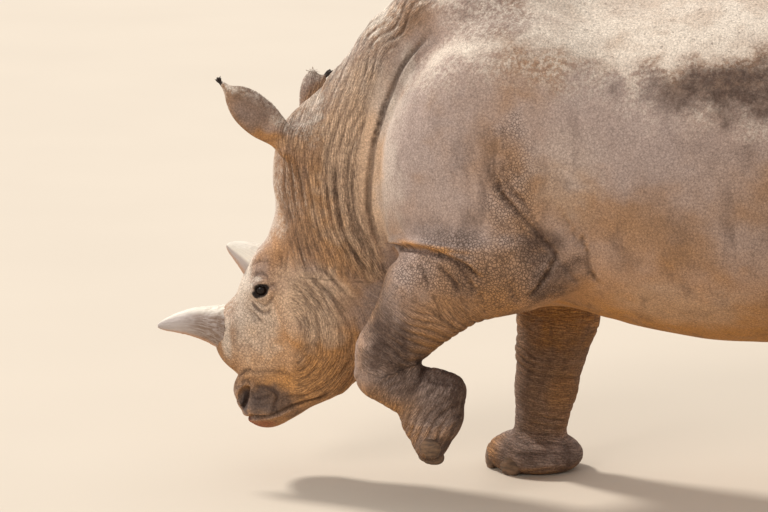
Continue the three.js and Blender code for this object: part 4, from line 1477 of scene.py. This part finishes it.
@dataclass(frozen=True)
class Studio:
    """The pale floor, the lamps and the camera."""

    target: Point = (-468.0, 0.0, 738.0)
    azimuth: float = 12.0
    elevation: float = 11.0
    distance: float = 13.0  # in metres, as how far it sees
    sight: float = 200.0
    lens: float = 182.8  # in millimetres, as the sensor
    sensor: float = 36.0
    sun: float = 3.0
    sun_softness: float = 9.0
    sun_from: Point = (-0.75, 0.5, 0.85)
    fill: float = 1.15
    fill_softness: float = 20.0
    fill_from: Point = (-5.0, -9.0, 4.7)
    sky: float = 0.72
    sun_colour: Colour = (1.0, 0.96, 0.9)
    fill_colour: Colour = (1.0, 0.95, 0.9)
    sky_colour: Colour = (1.0, 0.985, 0.97)
    floor_colour: Colour = linear(204, 192, 176)
    floor_roughness: float = 0.9
    floor_reach: float = 40.0

    def build(self, layout: Layout) -> None:
        """Makes floor, camera and lamps.

        Args:
            layout: gives the camera's place.
        """
        self.floor()
        self.camera(layout)
        self.lamps()

    def floor(self) -> None:
        """A wide pale floor."""
        g = Graph("floor")
        tone = g.eased(g.noise(g.place, 0.6, 2.0), 0.3, 0.7, (0.97, 1.0))
        colour = g.mixed(1.0, self.floor_colour, g.grey(tone), "MULTIPLY")
        material = g.finish(colour, self.floor_roughness)
        corners = np.array([(-1, -1, 0), (1, -1, 0), (1, 1.5, 0), (-1, 1.5, 0)]) * self.floor_reach
        mesh_object("floor", corners, np.array([[0, 1, 2, 3]]), material)

    def camera(self, layout: Layout) -> None:
        """The camera, level and looking at the target.

        Args:
            layout: gives the target's place.
        """
        a, e = math.radians(self.azimuth), math.radians(self.elevation)
        back = Vector((math.sin(a) * math.cos(e), -math.cos(a) * math.cos(e), math.sin(e)))
        data = bpy.data.cameras.new("camera")
        data.lens = self.lens
        data.sensor_width = self.sensor
        data.clip_end = self.sight
        camera = bpy.data.objects.new("camera", data)
        camera.location = layout.point(self.target) + back * self.distance
        camera.rotation_euler = back.to_track_quat("Z", "Y").to_euler()
        bpy.context.scene.collection.objects.link(camera)
        bpy.context.scene.camera = camera

    def lamp(self, name: str, strength: float, softness: float, way: Point, colour: Colour) -> None:
        """Makes a far lamp.

        Args:
            name: its name.
            strength: its power on each square metre.
            softness: how wide it looks, in degrees.
            way: the way from the animal to it.
            colour: its colour.
        """
        data = bpy.data.lights.new(name, "SUN")
        data.energy, data.angle, data.color = strength, math.radians(softness), colour
        lamp = bpy.data.objects.new(name, data)
        lamp.rotation_euler = Vector(way).to_track_quat("Z", "Y").to_euler()
        bpy.context.scene.collection.objects.link(lamp)

    def lamps(self) -> None:
        """A soft sun behind and above the animal, a softer light beside it, and an even sky."""
        self.lamp("sun", self.sun, self.sun_softness, self.sun_from, self.sun_colour)
        self.lamp("fill", self.fill, self.fill_softness, self.fill_from, self.fill_colour)
        world = bpy.data.worlds.new("studio")
        world.use_nodes = True
        sky = world.node_tree.nodes["Background"]
        sky.inputs[0].default_value = (*self.sky_colour, 1.0)
        sky.inputs[1].default_value = self.sky
        bpy.context.scene.world = world
        bpy.context.scene.view_settings.view_transform = "Standard"


def bellows(along: Array, around: Array, seed: int, pitch: float = 30.0) -> Array:
    """How deep points lie in the rings of a creased stretch, from 0 to 1.

    Args:
        along: places across the rings, in millimetres.
        around: places along them.
        seed: picks where they sway and break off.
        pitch: how far apart they are.

    Returns:
        1 in the middle of a groove.
    """
    flat = np.stack([around, along * 0.4, along * 0], 1)
    phase = along / pitch + 1.1 * lattice_noise(flat, 110, seed)
    deep = ease(np.abs(phase % 1.0 - 0.5) * 2, 0.4, 1.0)
    return deep * (0.3 + 0.7 * ease(lattice_noise(flat * [1, 4, 1], 90, seed + 50), -0.3, 0.5))


@dataclass
class Skin:
    """One skin over all flesh."""

    flesh: Flesh
    layout: Layout
    finish: HideFinish
    most_triangles: int = 196_000
    kept_round_eye: float = 62.0
    rear_from: float = -60.0
    rear_triangles: int = 74_000
    bellow_depth: float = 4.2
    runs: Sequence[Array] = ()

    SLEEVES = (
        Whorl((185, 1084), (690, 985), (-790, -500, 690), (-250, 500, 1700), facing=-1.0, soft=22),  # neck
        Whorl((-790, 490), (75, 330), (-745, -500, 250), (-420, 500, 680), facing=1.0, soft=22),  # cheek
        Sleeve(
            ((90, 290, 760), (74, 290, 495), (38, 280, 260), (0, 268, 0)),
            girth=120, low=(-250, 60, -200), high=(300, 500, 640),
        ),
        Sleeve(
            ((-40, -345, 830), (-240, -345, 690), (-375, -335, 490), (-400, -332, 420), (-270, -325, 345)),
            girth=130, low=(-600, -600, 100), high=(-30, -180, 700),
        ),
        Sleeve(
            ((1370, -300, 790), (1530, -302, 590), (1600, -300, 450), (1560, -292, 260), (1450, -286, 0)),
            girth=110, low=(1150, -600, -200), high=(1800, -60, 620),
        ),
        Sleeve(
            ((1520, 300, 780), (1760, 302, 590), (1880, 300, 460), (1900, 292, 260), (1825, 286, 0)),
            girth=110, low=(1500, 60, -200), high=(2200, 600, 620),
        ),
        Sleeve(
            ((2010, 0, 1290), (2072, 0, 1120), (2082, 0, 920), (2078, 0, 740)),
            girth=40, low=(1990, -90, 600), high=(2300, 90, 1250),
        ),
    )
    RING_SEED = 40
    RING_GROOVE = 0.62  # how dark the rings' grooves are painted, as shade
    UNEVENNESS = ((2.6, 130, 1), (1.3, 48, 2))  # height, size and seed
    SMOOTH_SOLE = 30  # above the floor, where the relief starts
    DUSTY_HEIGHTS = (900, 1400)  # dust and painted sunlight on what faces up start between these
    FACE_HEIGHTS = (480, 620)  # painted rim light on the front of the face starts between these
    FACE_ENDS = (-760, -600)
    SOILED_HEIGHTS = (1100, 1500)  # splashes and drips of soil end between these
    # Where the lattice's lines lie along x, y and z: each band's start and its spacing.
    BANDS = (
        ((-1070, 6), (-905, 4.2), (-800, 6), (-640, 7.5), (-300, 8), (-100, 14), (700, 26), (2160, 0)),
        ((-580, 12), (-260, 8), (-190, 4.5), (-110, 9), (110, 6), (190, 8), (260, 14), (580, 0)),
        ((-48, 9), (140, 4.6), (300, 6.5), (600, 4), (680, 8), (1380, 12), (1840, 0)),
    )

    def build(self) -> Piece:
        """Nets the field, folds it, thins it out and dresses it.

        Returns:
            The piece.
        """
        scale = 1.0
        lines = [graded(bands, scale) for bands in self.BANDS]
        points, quads = netted(sampled(self.flesh, lines), lines)
        log.info("skin net: %d points", len(points))
        points = self.flesh.settled(points)
        normals = normals_of(points, quads)
        self.runs = fold_runs(FOLDS, self.flesh)
        height = self.relief(points, normals)
        points = points + normals * height[:, None]
        piece = mesh_object("skin", self.layout.placed(points), quads, self.finish.material())
        self.thinned(piece)
        self.marked(piece)
        return piece

    def relief(self, points: Array, normals: Array) -> Array:
        """How far the folded skin stands off the smooth flesh.

        Args:
            points: places on the flesh, in millimetres.
            normals: the normal at each.

        Returns:
            A height for each, in millimetres.
        """
        height = sum(high * lattice_noise(points, size, seed) for high, size, seed in self.UNEVENNESS)
        for number, one in enumerate(self.SLEEVES):
            along, around, share = one.measured(points)
            height -= bellows(along, around, self.RING_SEED + number) * share * self.bellow_depth
        for fold, run in zip(FOLDS, self.runs):
            height += fold.pressed(run, points, normals)[0]
        return height * ease(points[:, 2], FLOOR, FLOOR + self.SMOOTH_SOLE)

    def thinned(self, piece: Piece) -> None:
        """Takes out the triangles that matter least, first in the rear, then ahead but round the eyes.

        Args:
            piece: the skin.
        """
        points = self.places(piece)
        total = 2 * len(piece.data.polygons)
        ahead = points[:, 0] < self.rear_from
        self.collapse(piece, ahead, round(total * ahead.mean()) + self.rear_triangles)
        points = self.places(piece)
        folded = np.stack([points[:, 0], -np.abs(points[:, 1]), points[:, 2]], 1)
        near_eye = np.linalg.norm(folded - np.array(EYE), axis=1) < self.kept_round_eye
        self.collapse(piece, near_eye | (points[:, 0] > self.rear_from), self.most_triangles)

    def places(self, piece: Piece) -> Array:
        """The skin's points, in the flesh's millimetres."""
        return vectors(piece.data.vertices, "co") * MM - self.layout.shift

    def collapse(self, piece: Piece, kept: Array, most: int) -> None:
        """Takes out triangles until few enough are left.

        Args:
            piece: the skin.
            kept: true for each point that stays as it is.
            most: how many triangles are left.
        """
        share = most / sum(len(face.vertices) - 2 for face in piece.data.polygons)
        if share >= 1:
            return
        group = piece.vertex_groups.new(name="keep")
        group.add(np.flatnonzero(kept).tolist(), 1.0, "REPLACE")
        modifier = piece.modifiers.new("thin", "DECIMATE")
        modifier.ratio = share
        modifier.vertex_group = "keep"
        modifier.vertex_group_factor = 1e-6
        modifier.invert_vertex_group = True
        modifier.use_collapse_triangulate = True
        plain = evaluated(piece)
        piece.modifiers.clear()
        piece.data = plain
        piece.vertex_groups.clear()
        piece.data.name = "skin"

    def marked(self, piece: Piece) -> None:
        """Stores on the skin what its finish reads.

        Args:
            piece: the skin.
        """
        points, facing = self.places(piece), vectors(piece.data.vertex_normals, "vector")
        for name, values in (self.stained(points, facing) | self.creased(points, facing)).items():
            stored(piece.data, name, values)

    def stained(self, points: Array, facing: Array) -> dict[str, Array]:
        """Every mark on the skin, where dust and soil lie, and where sunlight, rim light, shade and bounce
        light are painted.

        Args:
            points: the skin's points, in millimetres.
            facing: the normal at each.

        Returns:
            Shares by their attribute's name.
        """
        rough = lattice_noise(points, 60, 21) + 0.6 * lattice_noise(points, 24, 22)
        marks = {}
        for mark, zones in ZONES.items():
            marks[mark.value] = np.max([zone.worn(points, rough) for zone in zones], 0)
        z = points[:, 2] + 60 * rough
        up = facing[:, 2]
        # Dust on what faces up, also painted sunlight on the top of the body.
        top = ease(up + 0.1 * rough, 0.24, 0.7) * ease(z, *self.DUSTY_HEIGHTS)
        # Painted rim light on the front of the face, kept with the dust.
        face = 0.8 * ease(-facing[:, 0] + 0.2 * rough, 0.45, 0.95) * ease(z, *self.FACE_HEIGHTS)
        face *= 1 - ease(points[:, 0], *self.FACE_ENDS)
        return marks | {
            "dusty": np.maximum(top, face) * (1 - 0.9 * marks[Mark.DARK.value]),
            "soiled": 1 - ease(z, *self.SOILED_HEIGHTS),
            # Orange-brown zones, and painted bounce light from the floor on what faces down.
            "warm": np.maximum(marks[Mark.WARM.value], 0.75 * ease(-up, 0.0, 0.9)),
        }

    def creased(self, points: Array, facing: Array) -> dict[str, Array]:
        """Where the skin rings and folds, and the painted shade in its creases.

        Args:
            points: the skin's points, in millimetres.
            facing: the normal at each.

        Returns:
            Shares by their attribute's name, and as "sleeve" the places across and along the rings.
        """
        count = len(points)
        rings, others, groove, sleeve = *np.zeros((3, count)), np.zeros((count, 3))
        for number, one in enumerate(self.SLEEVES):
            along, around, share = one.measured(points)
            deep = bellows(along, around, self.RING_SEED + number)
            groove = np.maximum(groove, self.RING_GROOVE * deep * share)
            more = share > rings
            sleeve[more] = np.stack([along, around, np.zeros(count)], 1)[more] / MM
            others = np.maximum(others, np.minimum(share, rings))
            rings = np.maximum(rings, share)
        for fold, run in zip(FOLDS, self.runs):
            groove = np.maximum(groove, fold.pressed(run, points, facing)[1])
        return {"rings": np.clip(rings - others, 0, 1), "groove": groove, "sleeve": sleeve}


def swept(rings: Array) -> tuple[Array, Array]:
    """Quads over rings of points laid one after another, closed with a fan of quads at both ends.

    Args:
        rings: an array of rings, each of the same even number of points.

    Returns:
        The points and the quads, which face out where the rings run right-handed.
    """
    count, sides = rings.shape[:2]
    n = np.arange(sides)
    quads = []
    for ring in range(count - 1):
        a, b = ring * sides + n, ring * sides + (n + 1) % sides
        quads.append(np.stack([a, b, b + sides, a + sides], 1))
    points = rings.reshape(-1, 3)
    for ring, flip in ((0, True), (count - 1, False)):
        for k in range(sides // 2 - 1):
            cap = np.array([[k, k + 1, sides - 2 - k, sides - 1 - k]]) + ring * sides
            quads.append(cap[:, ::-1] if flip else cap)
    return points, np.concatenate(quads)


@dataclass(frozen=True)
class Horn:
    """A horn: rings that narrow along a bowed line, frayed at the foot."""

    name: str
    base: Point
    tip: Point
    bow: float
    wide: float
    deep: float
    collar: float
    taper: float = 0.34
    spacing: float = 0.85  # under 1 brings the rings closer towards the tip
    closed: float = 0.985
    bluntness: float = 1.35
    browned: float = 1.0
    # How far toward up the side faces where painted sunlight starts, and where it is full.
    worn_from: float = 0.55
    worn_to: float = 1.0
    rings: int = 90
    sides: int = 128

    def build(self, layout: Layout, material: Material) -> Piece:
        """Makes the horn, with its own coordinates for the fibres.

        Args:
            layout: gives its place.
            material: its finish.

        Returns:
            The piece.
        """
        start, end = np.array(self.base, float), np.array(self.tip, float)
        length = float(np.linalg.norm(end - start))
        side = np.array([0.0, 1.0, 0.0])
        up = -np.cross((end - start) / length, side)
        t = np.linspace(0, 1, self.rings) ** self.spacing
        closing = np.sqrt(1 - self.closed * t**self.bluntness)
        narrow = closing * (1 - self.taper * t) * (self.collar + (1 - self.collar) * ease(t, 0, 0.3))
        angle = np.linspace(0, 2 * math.pi, self.sides, endpoint=False)
        middle = start + np.outer(t, end - start) + np.outer(self.bow * np.sin(math.pi * t), up)
        ring = self.wide * np.cos(angle)[:, None] * side + self.deep * np.sin(angle)[:, None] * up
        points = (middle[:, None, :] + narrow[:, None, None] * ring[None]).reshape(-1, 3)
        share, around = np.repeat(t, self.sides), np.tile(angle, self.rings)
        outward = np.tile(ring / np.linalg.norm(ring, axis=1, keepdims=True), (self.rings, 1))
        points = points + outward * self.frayed(points, share, around)[:, None]
        net = swept(points.reshape(self.rings, self.sides, 3))
        piece = mesh_object(self.name, layout.placed(net[0]), net[1], material)
        grain = np.stack([share * (length / MM), around * self.wide / MM, share * 0], 1)
        stored(piece.data, "grain", grain)
        stored(piece.data, "foot", self.browned * (1 - ease(share, 0.25, 0.78)))
        # Painted bounce light beneath, and painted sunlight on the side that faces up.
        stored(piece.data, "under", 0.85 * ease(-outward[:, 2], 0.45, 1.0))
        stored(piece.data, "worn", 0.9 * ease(outward @ up, self.worn_from, self.worn_to))
        return piece

    def frayed(self, points: Array, share: Array, around: Array) -> Array:
        """How far fibres and pits stand off the smooth horn.

        Args:
            points: places on it, in millimetres.
            share: how far along the horn each lies, from 0 to 1.
            around: its angle round the horn.

        Returns:
            A height for each, in millimetres.
        """
        fibres = lattice_noise(np.stack([share * 220, around * 60, around * 0], 1), 9, 31)
        pits = lattice_noise(points, 22, 33)
        fray = 1 - ease(share, 0.05, 0.4)
        off = (0.7 + 2.4 * fray) * fibres + (0.5 + 1.5 * fray) * pits
        return off * ease(1.02 - share, 0, 0.2)


def ball(radii: Sequence[float], columns: int, rows: int) -> tuple[Array, Array]:
    """An ellipsoid of rings about its first axis, closed at both poles.

    Args:
        radii: along its three axes.
        columns: points in a ring.
        rows: rings.

    Returns:
        The points and the quads.
    """
    lift = np.linspace(0.02, math.pi - 0.02, rows)
    angle = np.linspace(0, 2 * math.pi, columns, endpoint=False)
    rings = np.stack(
        [
            np.repeat(-np.cos(lift)[:, None], columns, 1) * radii[0],
            np.sin(lift)[:, None] * np.cos(angle)[None] * radii[1],
            np.sin(lift)[:, None] * np.sin(angle)[None] * radii[2],
        ],
        -1,
    )
    return swept(rings)


class Side(Enum):
    """A side of the body, with the way to it along Y."""

    LEFT = -1
    RIGHT = 1

    @property
    def word(self) -> str:
        """The side, as the names of pieces and nodes have it."""
        return self.name.lower()


@dataclass(frozen=True)
class Eye:
    """An eyeball with a slightly raised cornea."""

    side: Side
    radius: float = 24.0
    cornea: float = 1.5
    cornea_edge: Span = (0.75, 0.95)  # in radii from the middle of the ball
    columns: int = 64
    rows: int = 40

    def build(self, material: Material) -> Piece:
        """Makes the eye at its solid's place.

        Args:
            material: its finish.

        Returns:
            The piece.
        """
        points, quads = ball((self.radius,) * 3, self.columns, self.rows)
        points = points[:, [1, 0, 2]] * self.side.value
        outward = points[:, 1] * self.side.value / self.radius
        points = points * (1 + self.cornea / self.radius * ease(outward, *self.cornea_edge))[:, None]
        low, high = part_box(f"eye_{self.side.word}")
        points = points / MM + np.array((low + high) / 2)
        quads = quads[:, ::-1] if self.side is Side.LEFT else quads
        return mesh_object(f"eyeball_{self.side.word}", points, quads, material)


class Toe(Enum):
    """A toe, with its angle from straight ahead and its nail's radii."""

    INNER = (-62.0, (26.0, 44.0, 42.0))
    MIDDLE = (0.0, (28.0, 66.0, 52.0))
    OUTER = (62.0, (26.0, 44.0, 42.0))


@dataclass(frozen=True)
class Foot:
    """Three toenails round the front of a foot."""

    name: str
    side: Side
    turn: float
    size: float
    ridges: float = 14.0
    ridge_height: float = 0.5
    unevenness: float = 0.9
    columns: int = 48
    rows: int = 32

    def build(self, material: Material) -> list[Piece]:
        """Makes the nails at their solids' places.

        Args:
            material: their finish.

        Returns:
            The three pieces.
        """
        return [self.nail(toe, material) for toe in Toe]

    def nail(self, toe: Toe, material: Material) -> Piece:
        """Makes one nail.

        Args:
            toe: the toe that it is on.
            material: its finish.

        Returns:
            The piece.
        """
        tilt = math.radians(self.turn)
        angle = -math.radians(toe.value[0]) * self.side.value
        c, s = math.cos(tilt), math.sin(tilt)
        tilted = np.array([[c, 0, -s], [0, 1, 0], [s, 0, c]])
        c, s = math.cos(angle), math.sin(angle)
        axes = np.array([[-c, -s, 0], [s, -c, 0], [0, 0, 1]]) @ tilted.T
        radii = np.array(toe.value[1]) * self.size
        name = f"{self.name}_{self.side.word}_{toe.name.lower()}"
        low, high = (np.array(c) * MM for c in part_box(f"toenail_{name}"))
        half = np.sqrt(((axes.T * radii) ** 2).sum(1))
        middle = np.array([(low[0] + high[0]) / 2, (low[1] + high[1]) / 2, high[2] - half[2]])
        points, quads = ball(radii, self.columns, self.rows)
        rings = np.sin(points[:, 2] / radii[2] * self.ridges + 2 * lattice_noise(points, 30, 5))
        ridge = self.ridge_height * rings + self.unevenness * lattice_noise(points, 14, 6)
        points = points * (1 + ridge / radii.mean())[:, None] @ axes + middle
        points[:, 2] = np.maximum(points[:, 2], 0.0)
        return mesh_object(f"nail_{name}", points / MM, quads, material)


# Hair --------------------------------------------------------


class Bristles(Nodes):
    """The node group that grows tapered, bowed bristles out of a strip."""

    INPUTS = {
        "Strip": "NodeSocketGeometry",
        **dict.fromkeys(("Density", "Length", "Thickness", "Lean", "Tangle"), "NodeSocketFloat"),
        "Seed": "NodeSocketInt",
        "Finish": "NodeSocketMaterial",
    }
    TAPER = (1.03, 0.6)  # where a bristle would come to a point, and how blunt it is
    SIZES = (0.55, 1.15)  # of the shortest and the longest

    def __init__(self) -> None:
        """Makes the group, with its inputs by name."""
        self.tree = bpy.data.node_groups.new("bristles", "GeometryNodeTree")
        for label, kind in self.INPUTS.items():
            self.tree.interface.new_socket(label, in_out="INPUT", socket_type=kind)
        self.tree.interface.new_socket("Hair", in_out="OUTPUT", socket_type="NodeSocketGeometry")
        given = self.node("NodeGroupInput")
        self.given = {label: given.outputs[label] for label in self.INPUTS}
        self.grow()

    def bristle(self) -> Socket:
        """One bristle, 1 long, that stands on the origin, narrows to its tip and bows over.

        Returns:
            Its mesh, with its own coordinates stored as "patch".
        """
        bow = {"Resolution": 4, "Start": (0, 0, 0), "Middle": (0, 0, 0.55), "End": (0.22, 0, 0.97)}
        line = self.node("GeometryNodeCurveQuadraticBezier", bow).outputs[0]
        along = self.node("GeometryNodeSplineParameter").outputs["Factor"]
        taper = self.math("POWER", self.math("SUBTRACT", self.TAPER[0], along), self.TAPER[1])
        narrowed = self.node("GeometryNodeSetCurveRadius", {"Curve": line, "Radius": taper}).outputs[0]
        wide = self.math("DIVIDE", self.given["Thickness"], self.given["Length"])
        ring = self.node("GeometryNodeCurvePrimitiveCircle", {"Resolution": 5, "Radius": wide}).outputs[0]
        tube = {"Curve": narrowed, "Profile Curve": ring, "Fill Caps": True}
        place = self.node("GeometryNodeInputPosition").outputs[0]
        kept = {
            "Geometry": self.node("GeometryNodeCurveToMesh", tube).outputs[0],
            "Name": "patch",
            "Value": place,
        }
        return self.node("GeometryNodeStoreNamedAttribute", kept, data_type="FLOAT_VECTOR").outputs[0]

    def grow(self) -> None:
        """Roots scattered on the strip, a bristle on each, and the finish."""
        seed = self.given["Seed"]
        scatter = {"Mesh": self.given["Strip"], "Density": self.given["Density"], "Seed": seed}
        roots = self.node("GeometryNodeDistributePointsOnFaces", scatter)
        flow = self.node("GeometryNodeInputNamedAttribute", {"Name": "flow"}, data_type="FLOAT_VECTOR")
        lean = {0: flow.outputs[0], 1: self.given["Lean"], 2: roots.outputs["Normal"]}
        way = self.node("ShaderNodeVectorMath", lean, operation="MULTIPLY_ADD").outputs[0]
        spread = {0: (-1, -1, -1), 1: (1, 1, 1), "Seed": seed}
        noise = self.node("FunctionNodeRandomValue", spread, data_type="FLOAT_VECTOR").outputs[0]
        tangle = {0: noise, 1: self.given["Tangle"], 2: way}
        stray = self.node("ShaderNodeVectorMath", tangle, operation="MULTIPLY_ADD").outputs[0]
        turn = self.node("FunctionNodeAlignRotationToVector", {"Vector": stray}, axis="Z").outputs[0]
        sizes = {2: self.SIZES[0], 3: self.SIZES[1], "Seed": seed}
        size = self.node("FunctionNodeRandomValue", sizes, data_type="FLOAT").outputs[1]
        grown = {
            "Points": roots.outputs["Points"],
            "Instance": self.bristle(),
            "Rotation": turn,
            "Scale": self.math("MULTIPLY", size, self.given["Length"]),
        }
        placed = self.node("GeometryNodeInstanceOnPoints", grown).outputs[0]
        real = self.node("GeometryNodeRealizeInstances", {"Geometry": placed}).outputs[0]
        finish = {"Geometry": real, "Material": self.given["Finish"]}
        dressed = self.node("GeometryNodeSetMaterial", finish).outputs[0]
        self.node("NodeGroupOutput", {"Hair": dressed})


@dataclass(frozen=True)
class Fringe:
    """Bristles of one kind, in metres."""

    name: str
    density: float
    length: float
    thickness: float
    lean: float
    tangle: float
    seed: int
    patch: float = 0.003

    def grown(self, group: Bristles, rows: Array, flow: Array, material: Material) -> Piece:
        """Grows the bristles out of a strip.

        Args:
            group: the node group.
            rows: the strip's points, in metres, as rows of one length that face out.
            flow: the way the hair lies at each point.
            material: its finish.

        Returns:
            The piece, with its baking map.
        """
        count, width = rows.shape[:2]
        start = (np.arange(count - 1)[:, None] * width + np.arange(width - 1)[None]).ravel()
        quads = np.stack([start, start + 1, start + width + 1, start + width], 1)
        strip = mesh_object(self.name, rows.reshape(-1, 3), quads, material)
        u, v = np.meshgrid(np.linspace(0.03, 0.97, count), np.linspace(0.03, 0.97, width), indexing="ij")
        roots = np.stack([u, v, u * 0], -1).reshape(-1, 3)
        stored(strip.data, "flow", flow.reshape(-1, 3))
        stored(strip.data, "root", roots)
        modifier = strip.modifiers.new("grow", "NODES")
        modifier.node_group = group.tree
        given = {key.title(): value for key, value in vars(self).items()} | {"Finish": material}
        for item in group.tree.interface.items_tree:
            if item.name in given:
                modifier[item.identifier] = given[item.name]
        strip.update_tag()
        mesh = evaluated(strip)
        strip.modifiers.clear()
        strip.data = mesh
        self.mapped(mesh)
        return strip

    def mapped(self, mesh: bpy.types.Mesh) -> None:
        """Gives every bristle its own small patch of the baking map, at its root's place.

        Args:
            mesh: the bristles.
        """
        root, patch = (vectors(mesh.attributes[key].data, "vector") for key in ("root", "patch"))
        wide = max(self.thickness / self.length, 1e-6)
        local = np.stack([patch[:, 2] - 0.5, np.clip(patch[:, 1] / wide, -1, 1) / 2], 1)
        place = root[:, :2] + self.patch * local
        corners = np.zeros(len(mesh.loops), np.int32)
        mesh.loops.foreach_get("vertex_index", corners)
        layer = mesh.uv_layers.new(name="OFBake")
        layer.data.foreach_set("uv", place[corners].astype(np.float32).ravel())
        for key in ("root", "patch", "flow"):
            if key in mesh.attributes:
                mesh.attributes.remove(mesh.attributes[key])


@dataclass(frozen=True)
class Hair:
    """All hair: the fringes and tufts of the ears, the lashes and the brush of the tail."""

    group: Bristles
    layout: Layout
    dark: Material
    pale: Material

    # Density, length, thickness, lean, tangle and seed.
    RIM_HAIR = (60_000, 0.024, 0.0007, 0.9, 0.35, 3)
    TIP_HAIR = (900_000, 0.026, 0.0011, 3.0, 0.6, 5)
    TAIL_HAIR = (9_000, 0.13, 0.0011, 2.4, 0.5, 7)
    LASHES = (160_000, 0.013, 0.0005, 2.5, 0.5, 9)
    # The strip that an ear's tuft grows from, about the ear's tip.
    TUFT = (((0, -4, -12), (0, 4, -12)), ((-5, -4, -2), (-5, 4, -2)), ((4, -4, 0), (4, 4, 0)))
    # The tail's end, from the top: minus its height, its middle along X and its radius.
    TAIL_END = ((-920, 2082, 32), (-770, 2078, 26), (-744, 2078, 8))

    def made(self, fringe: Fringe, points: Array, flow: Array, material: Material) -> Piece:
        """One fringe from a strip in the flesh's own millimetres."""
        return fringe.grown(self.group, self.layout.placed(points), flow, material)

    def ear(self, side: Side, leaf: Blob, first: float, last: float, tip: Point) -> list[Piece]:
        """The fringe along an ear's rim and the tuft on its tip.

        Args:
            side: the ear's side.
            leaf: the leaf of the ear.
            first: where the fringe starts, in degrees round the rim from the tip.
            last: where it ends.
            tip: the point of the ear.

        Returns:
            The two pieces.
        """
        axes = turned_axes(leaf.pitch, leaf.yaw, leaf.roll)
        middle, end = np.array(leaf.at), np.array(tip)
        angle = np.radians(np.linspace(first, last, 24))[:, None]
        rim = np.cos(angle) * leaf.radii[0] * axes[0] + np.sin(angle) * leaf.radii[2] * axes[2]
        rim = middle + 0.98 * rim
        outward = np.cos(angle) / leaf.radii[0] * axes[0] + np.sin(angle) / leaf.radii[2] * axes[2]
        offsets = np.linspace(-7, 12, 4)
        rows = rim[:, None, :] + offsets[None, :, None] * axes[1]
        if (np.cross(rows[1, 0] - rows[0, 0], rows[0, 1] - rows[0, 0]) @ outward[0]) < 0:
            rows = rows[:, ::-1]
        flow = np.broadcast_to(axes[0], rows.shape)
        roots = end + np.array(self.TUFT, float)
        up = np.broadcast_to((end - middle) / np.linalg.norm(end - middle), roots.shape)
        fringe = Fringe(f"fringe_{side.word}", *self.RIM_HAIR)
        tuft = Fringe(f"tuft_{side.word}", *self.TIP_HAIR)
        return [self.made(fringe, rows, flow, self.pale), self.made(tuft, roots, up, self.dark)]

    def brush(self, low: float, high: float) -> Piece:
        """The bristles round the end of the tail.

        Args:
            low: where they end.
            high: where they start.

        Returns:
            The piece.
        """
        height = np.linspace(high, low, 12)[:, None]
        angle = np.linspace(0, 2 * math.pi, 17)[None]
        levels, middles, radii = zip(*self.TAIL_END)
        middle, radius = (np.interp(-height, levels, sizes) for sizes in (middles, radii))
        rows = np.stack([middle + radius * np.cos(angle), radius * np.sin(angle), height + 0 * angle], -1)
        flow = np.broadcast_to(np.array([0.1, 0.0, -1.0]), rows.shape)
        fringe = Fringe("brush_tail", *self.TAIL_HAIR)
        return self.made(fringe, rows[:, ::-1], flow, self.dark)

    def lashes(self, side: Side) -> Piece:
        """The lashes of one upper lid.

        Args:
            side: the eye's side.

        Returns:
            The piece.
        """
        y = side.value
        lid = np.array([point[:3] for point in LID_RIMS[0]], float) * [1, y, 1]
        low, high = lid + [0, y * 5, -3], lid + [0, y * 7, 1]
        rows = np.stack([low, high] if side is Side.LEFT else [high, low], 1)
        flow = np.broadcast_to(np.array([-0.2, y * 1.0, -0.5]), rows.shape)
        fringe = Fringe(f"lashes_{side.word}", *self.LASHES)
        return self.made(fringe, rows, flow, self.dark)


def riding(piece: Piece, slot: str, *nodes: str) -> None:
    """Joins a piece to the body.

    Args:
        piece: the piece.
        slot: not used.
        *nodes: the solids that it replaces.
    """
    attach(piece, "root")
    if nodes:
        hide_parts(*nodes)
    log.info("%s: %d faces", piece.name, len(piece.data.polygons))


FLESH_NODES = (
    "trunk", "neck", "head", "tail", "ear_left", "ear_right",
    "leg_front_left", "leg_front_right", "leg_hind_left", "leg_hind_right",
)
HORNS = (
    Horn("spike_front", (-995, 0, 462), (-1250, 0, 466), bow=20, wide=82, deep=76, collar=1.14),
    Horn(
        "spike_rear", (-862, 0, 662), (-1006, 0, 756), bow=10, wide=62, deep=84, collar=1.12,
        browned=0.3, worn_from=-0.45, worn_to=0.05,
    ),
)
FEET = (
    Foot("front", Side.LEFT, turn=74, size=0.86),
    Foot("front", Side.RIGHT, turn=0, size=1),
    Foot("hind", Side.LEFT, turn=0, size=0.92),
    Foot("hind", Side.RIGHT, turn=0, size=0.92),
)


def main() -> None:
    """Builds the studio and every piece."""
    logging.basicConfig(level=logging.INFO, format="%(name)s: %(message)s")
    layout = Layout()
    Studio().build(layout)
    skin = Skin(Flesh(), layout, HideFinish()).build()
    riding(skin, "hide", *FLESH_NODES)
    horn = HornFinish().material()
    for one in HORNS:
        riding(one.build(layout, horn), "horn", one.name.replace("spike", "horn"))
    eye = EyeFinish().material()
    for side in Side:
        riding(Eye(side).build(eye), "eye", f"eye_{side.word}")
    nail = NailFinish().material()
    for foot in FEET:
        for piece in foot.build(nail):
            riding(piece, "nail", piece.name.replace("nail", "toenail"))
    dark = HairFinish("hair_dark", linear(30, 24, 22), linear(70, 56, 48)).material()
    pale = HairFinish("hair_pale", linear(150, 132, 118), linear(236, 226, 212)).material()
    hair = Hair(Bristles(), layout, dark, pale)
    pieces = hair.ear(Side.LEFT, EARS[1], -40, 150, EARS[2].points[-1][:3])
    pieces += hair.ear(Side.RIGHT, EARS[4], -150, 60, EARS[5].points[-1][:3])
    pieces += [hair.lashes(Side.LEFT), hair.lashes(Side.RIGHT), hair.brush(low=748, high=930)]
    for piece in pieces:
        riding(piece, "hair")


if __name__ == "__main__":
    main()
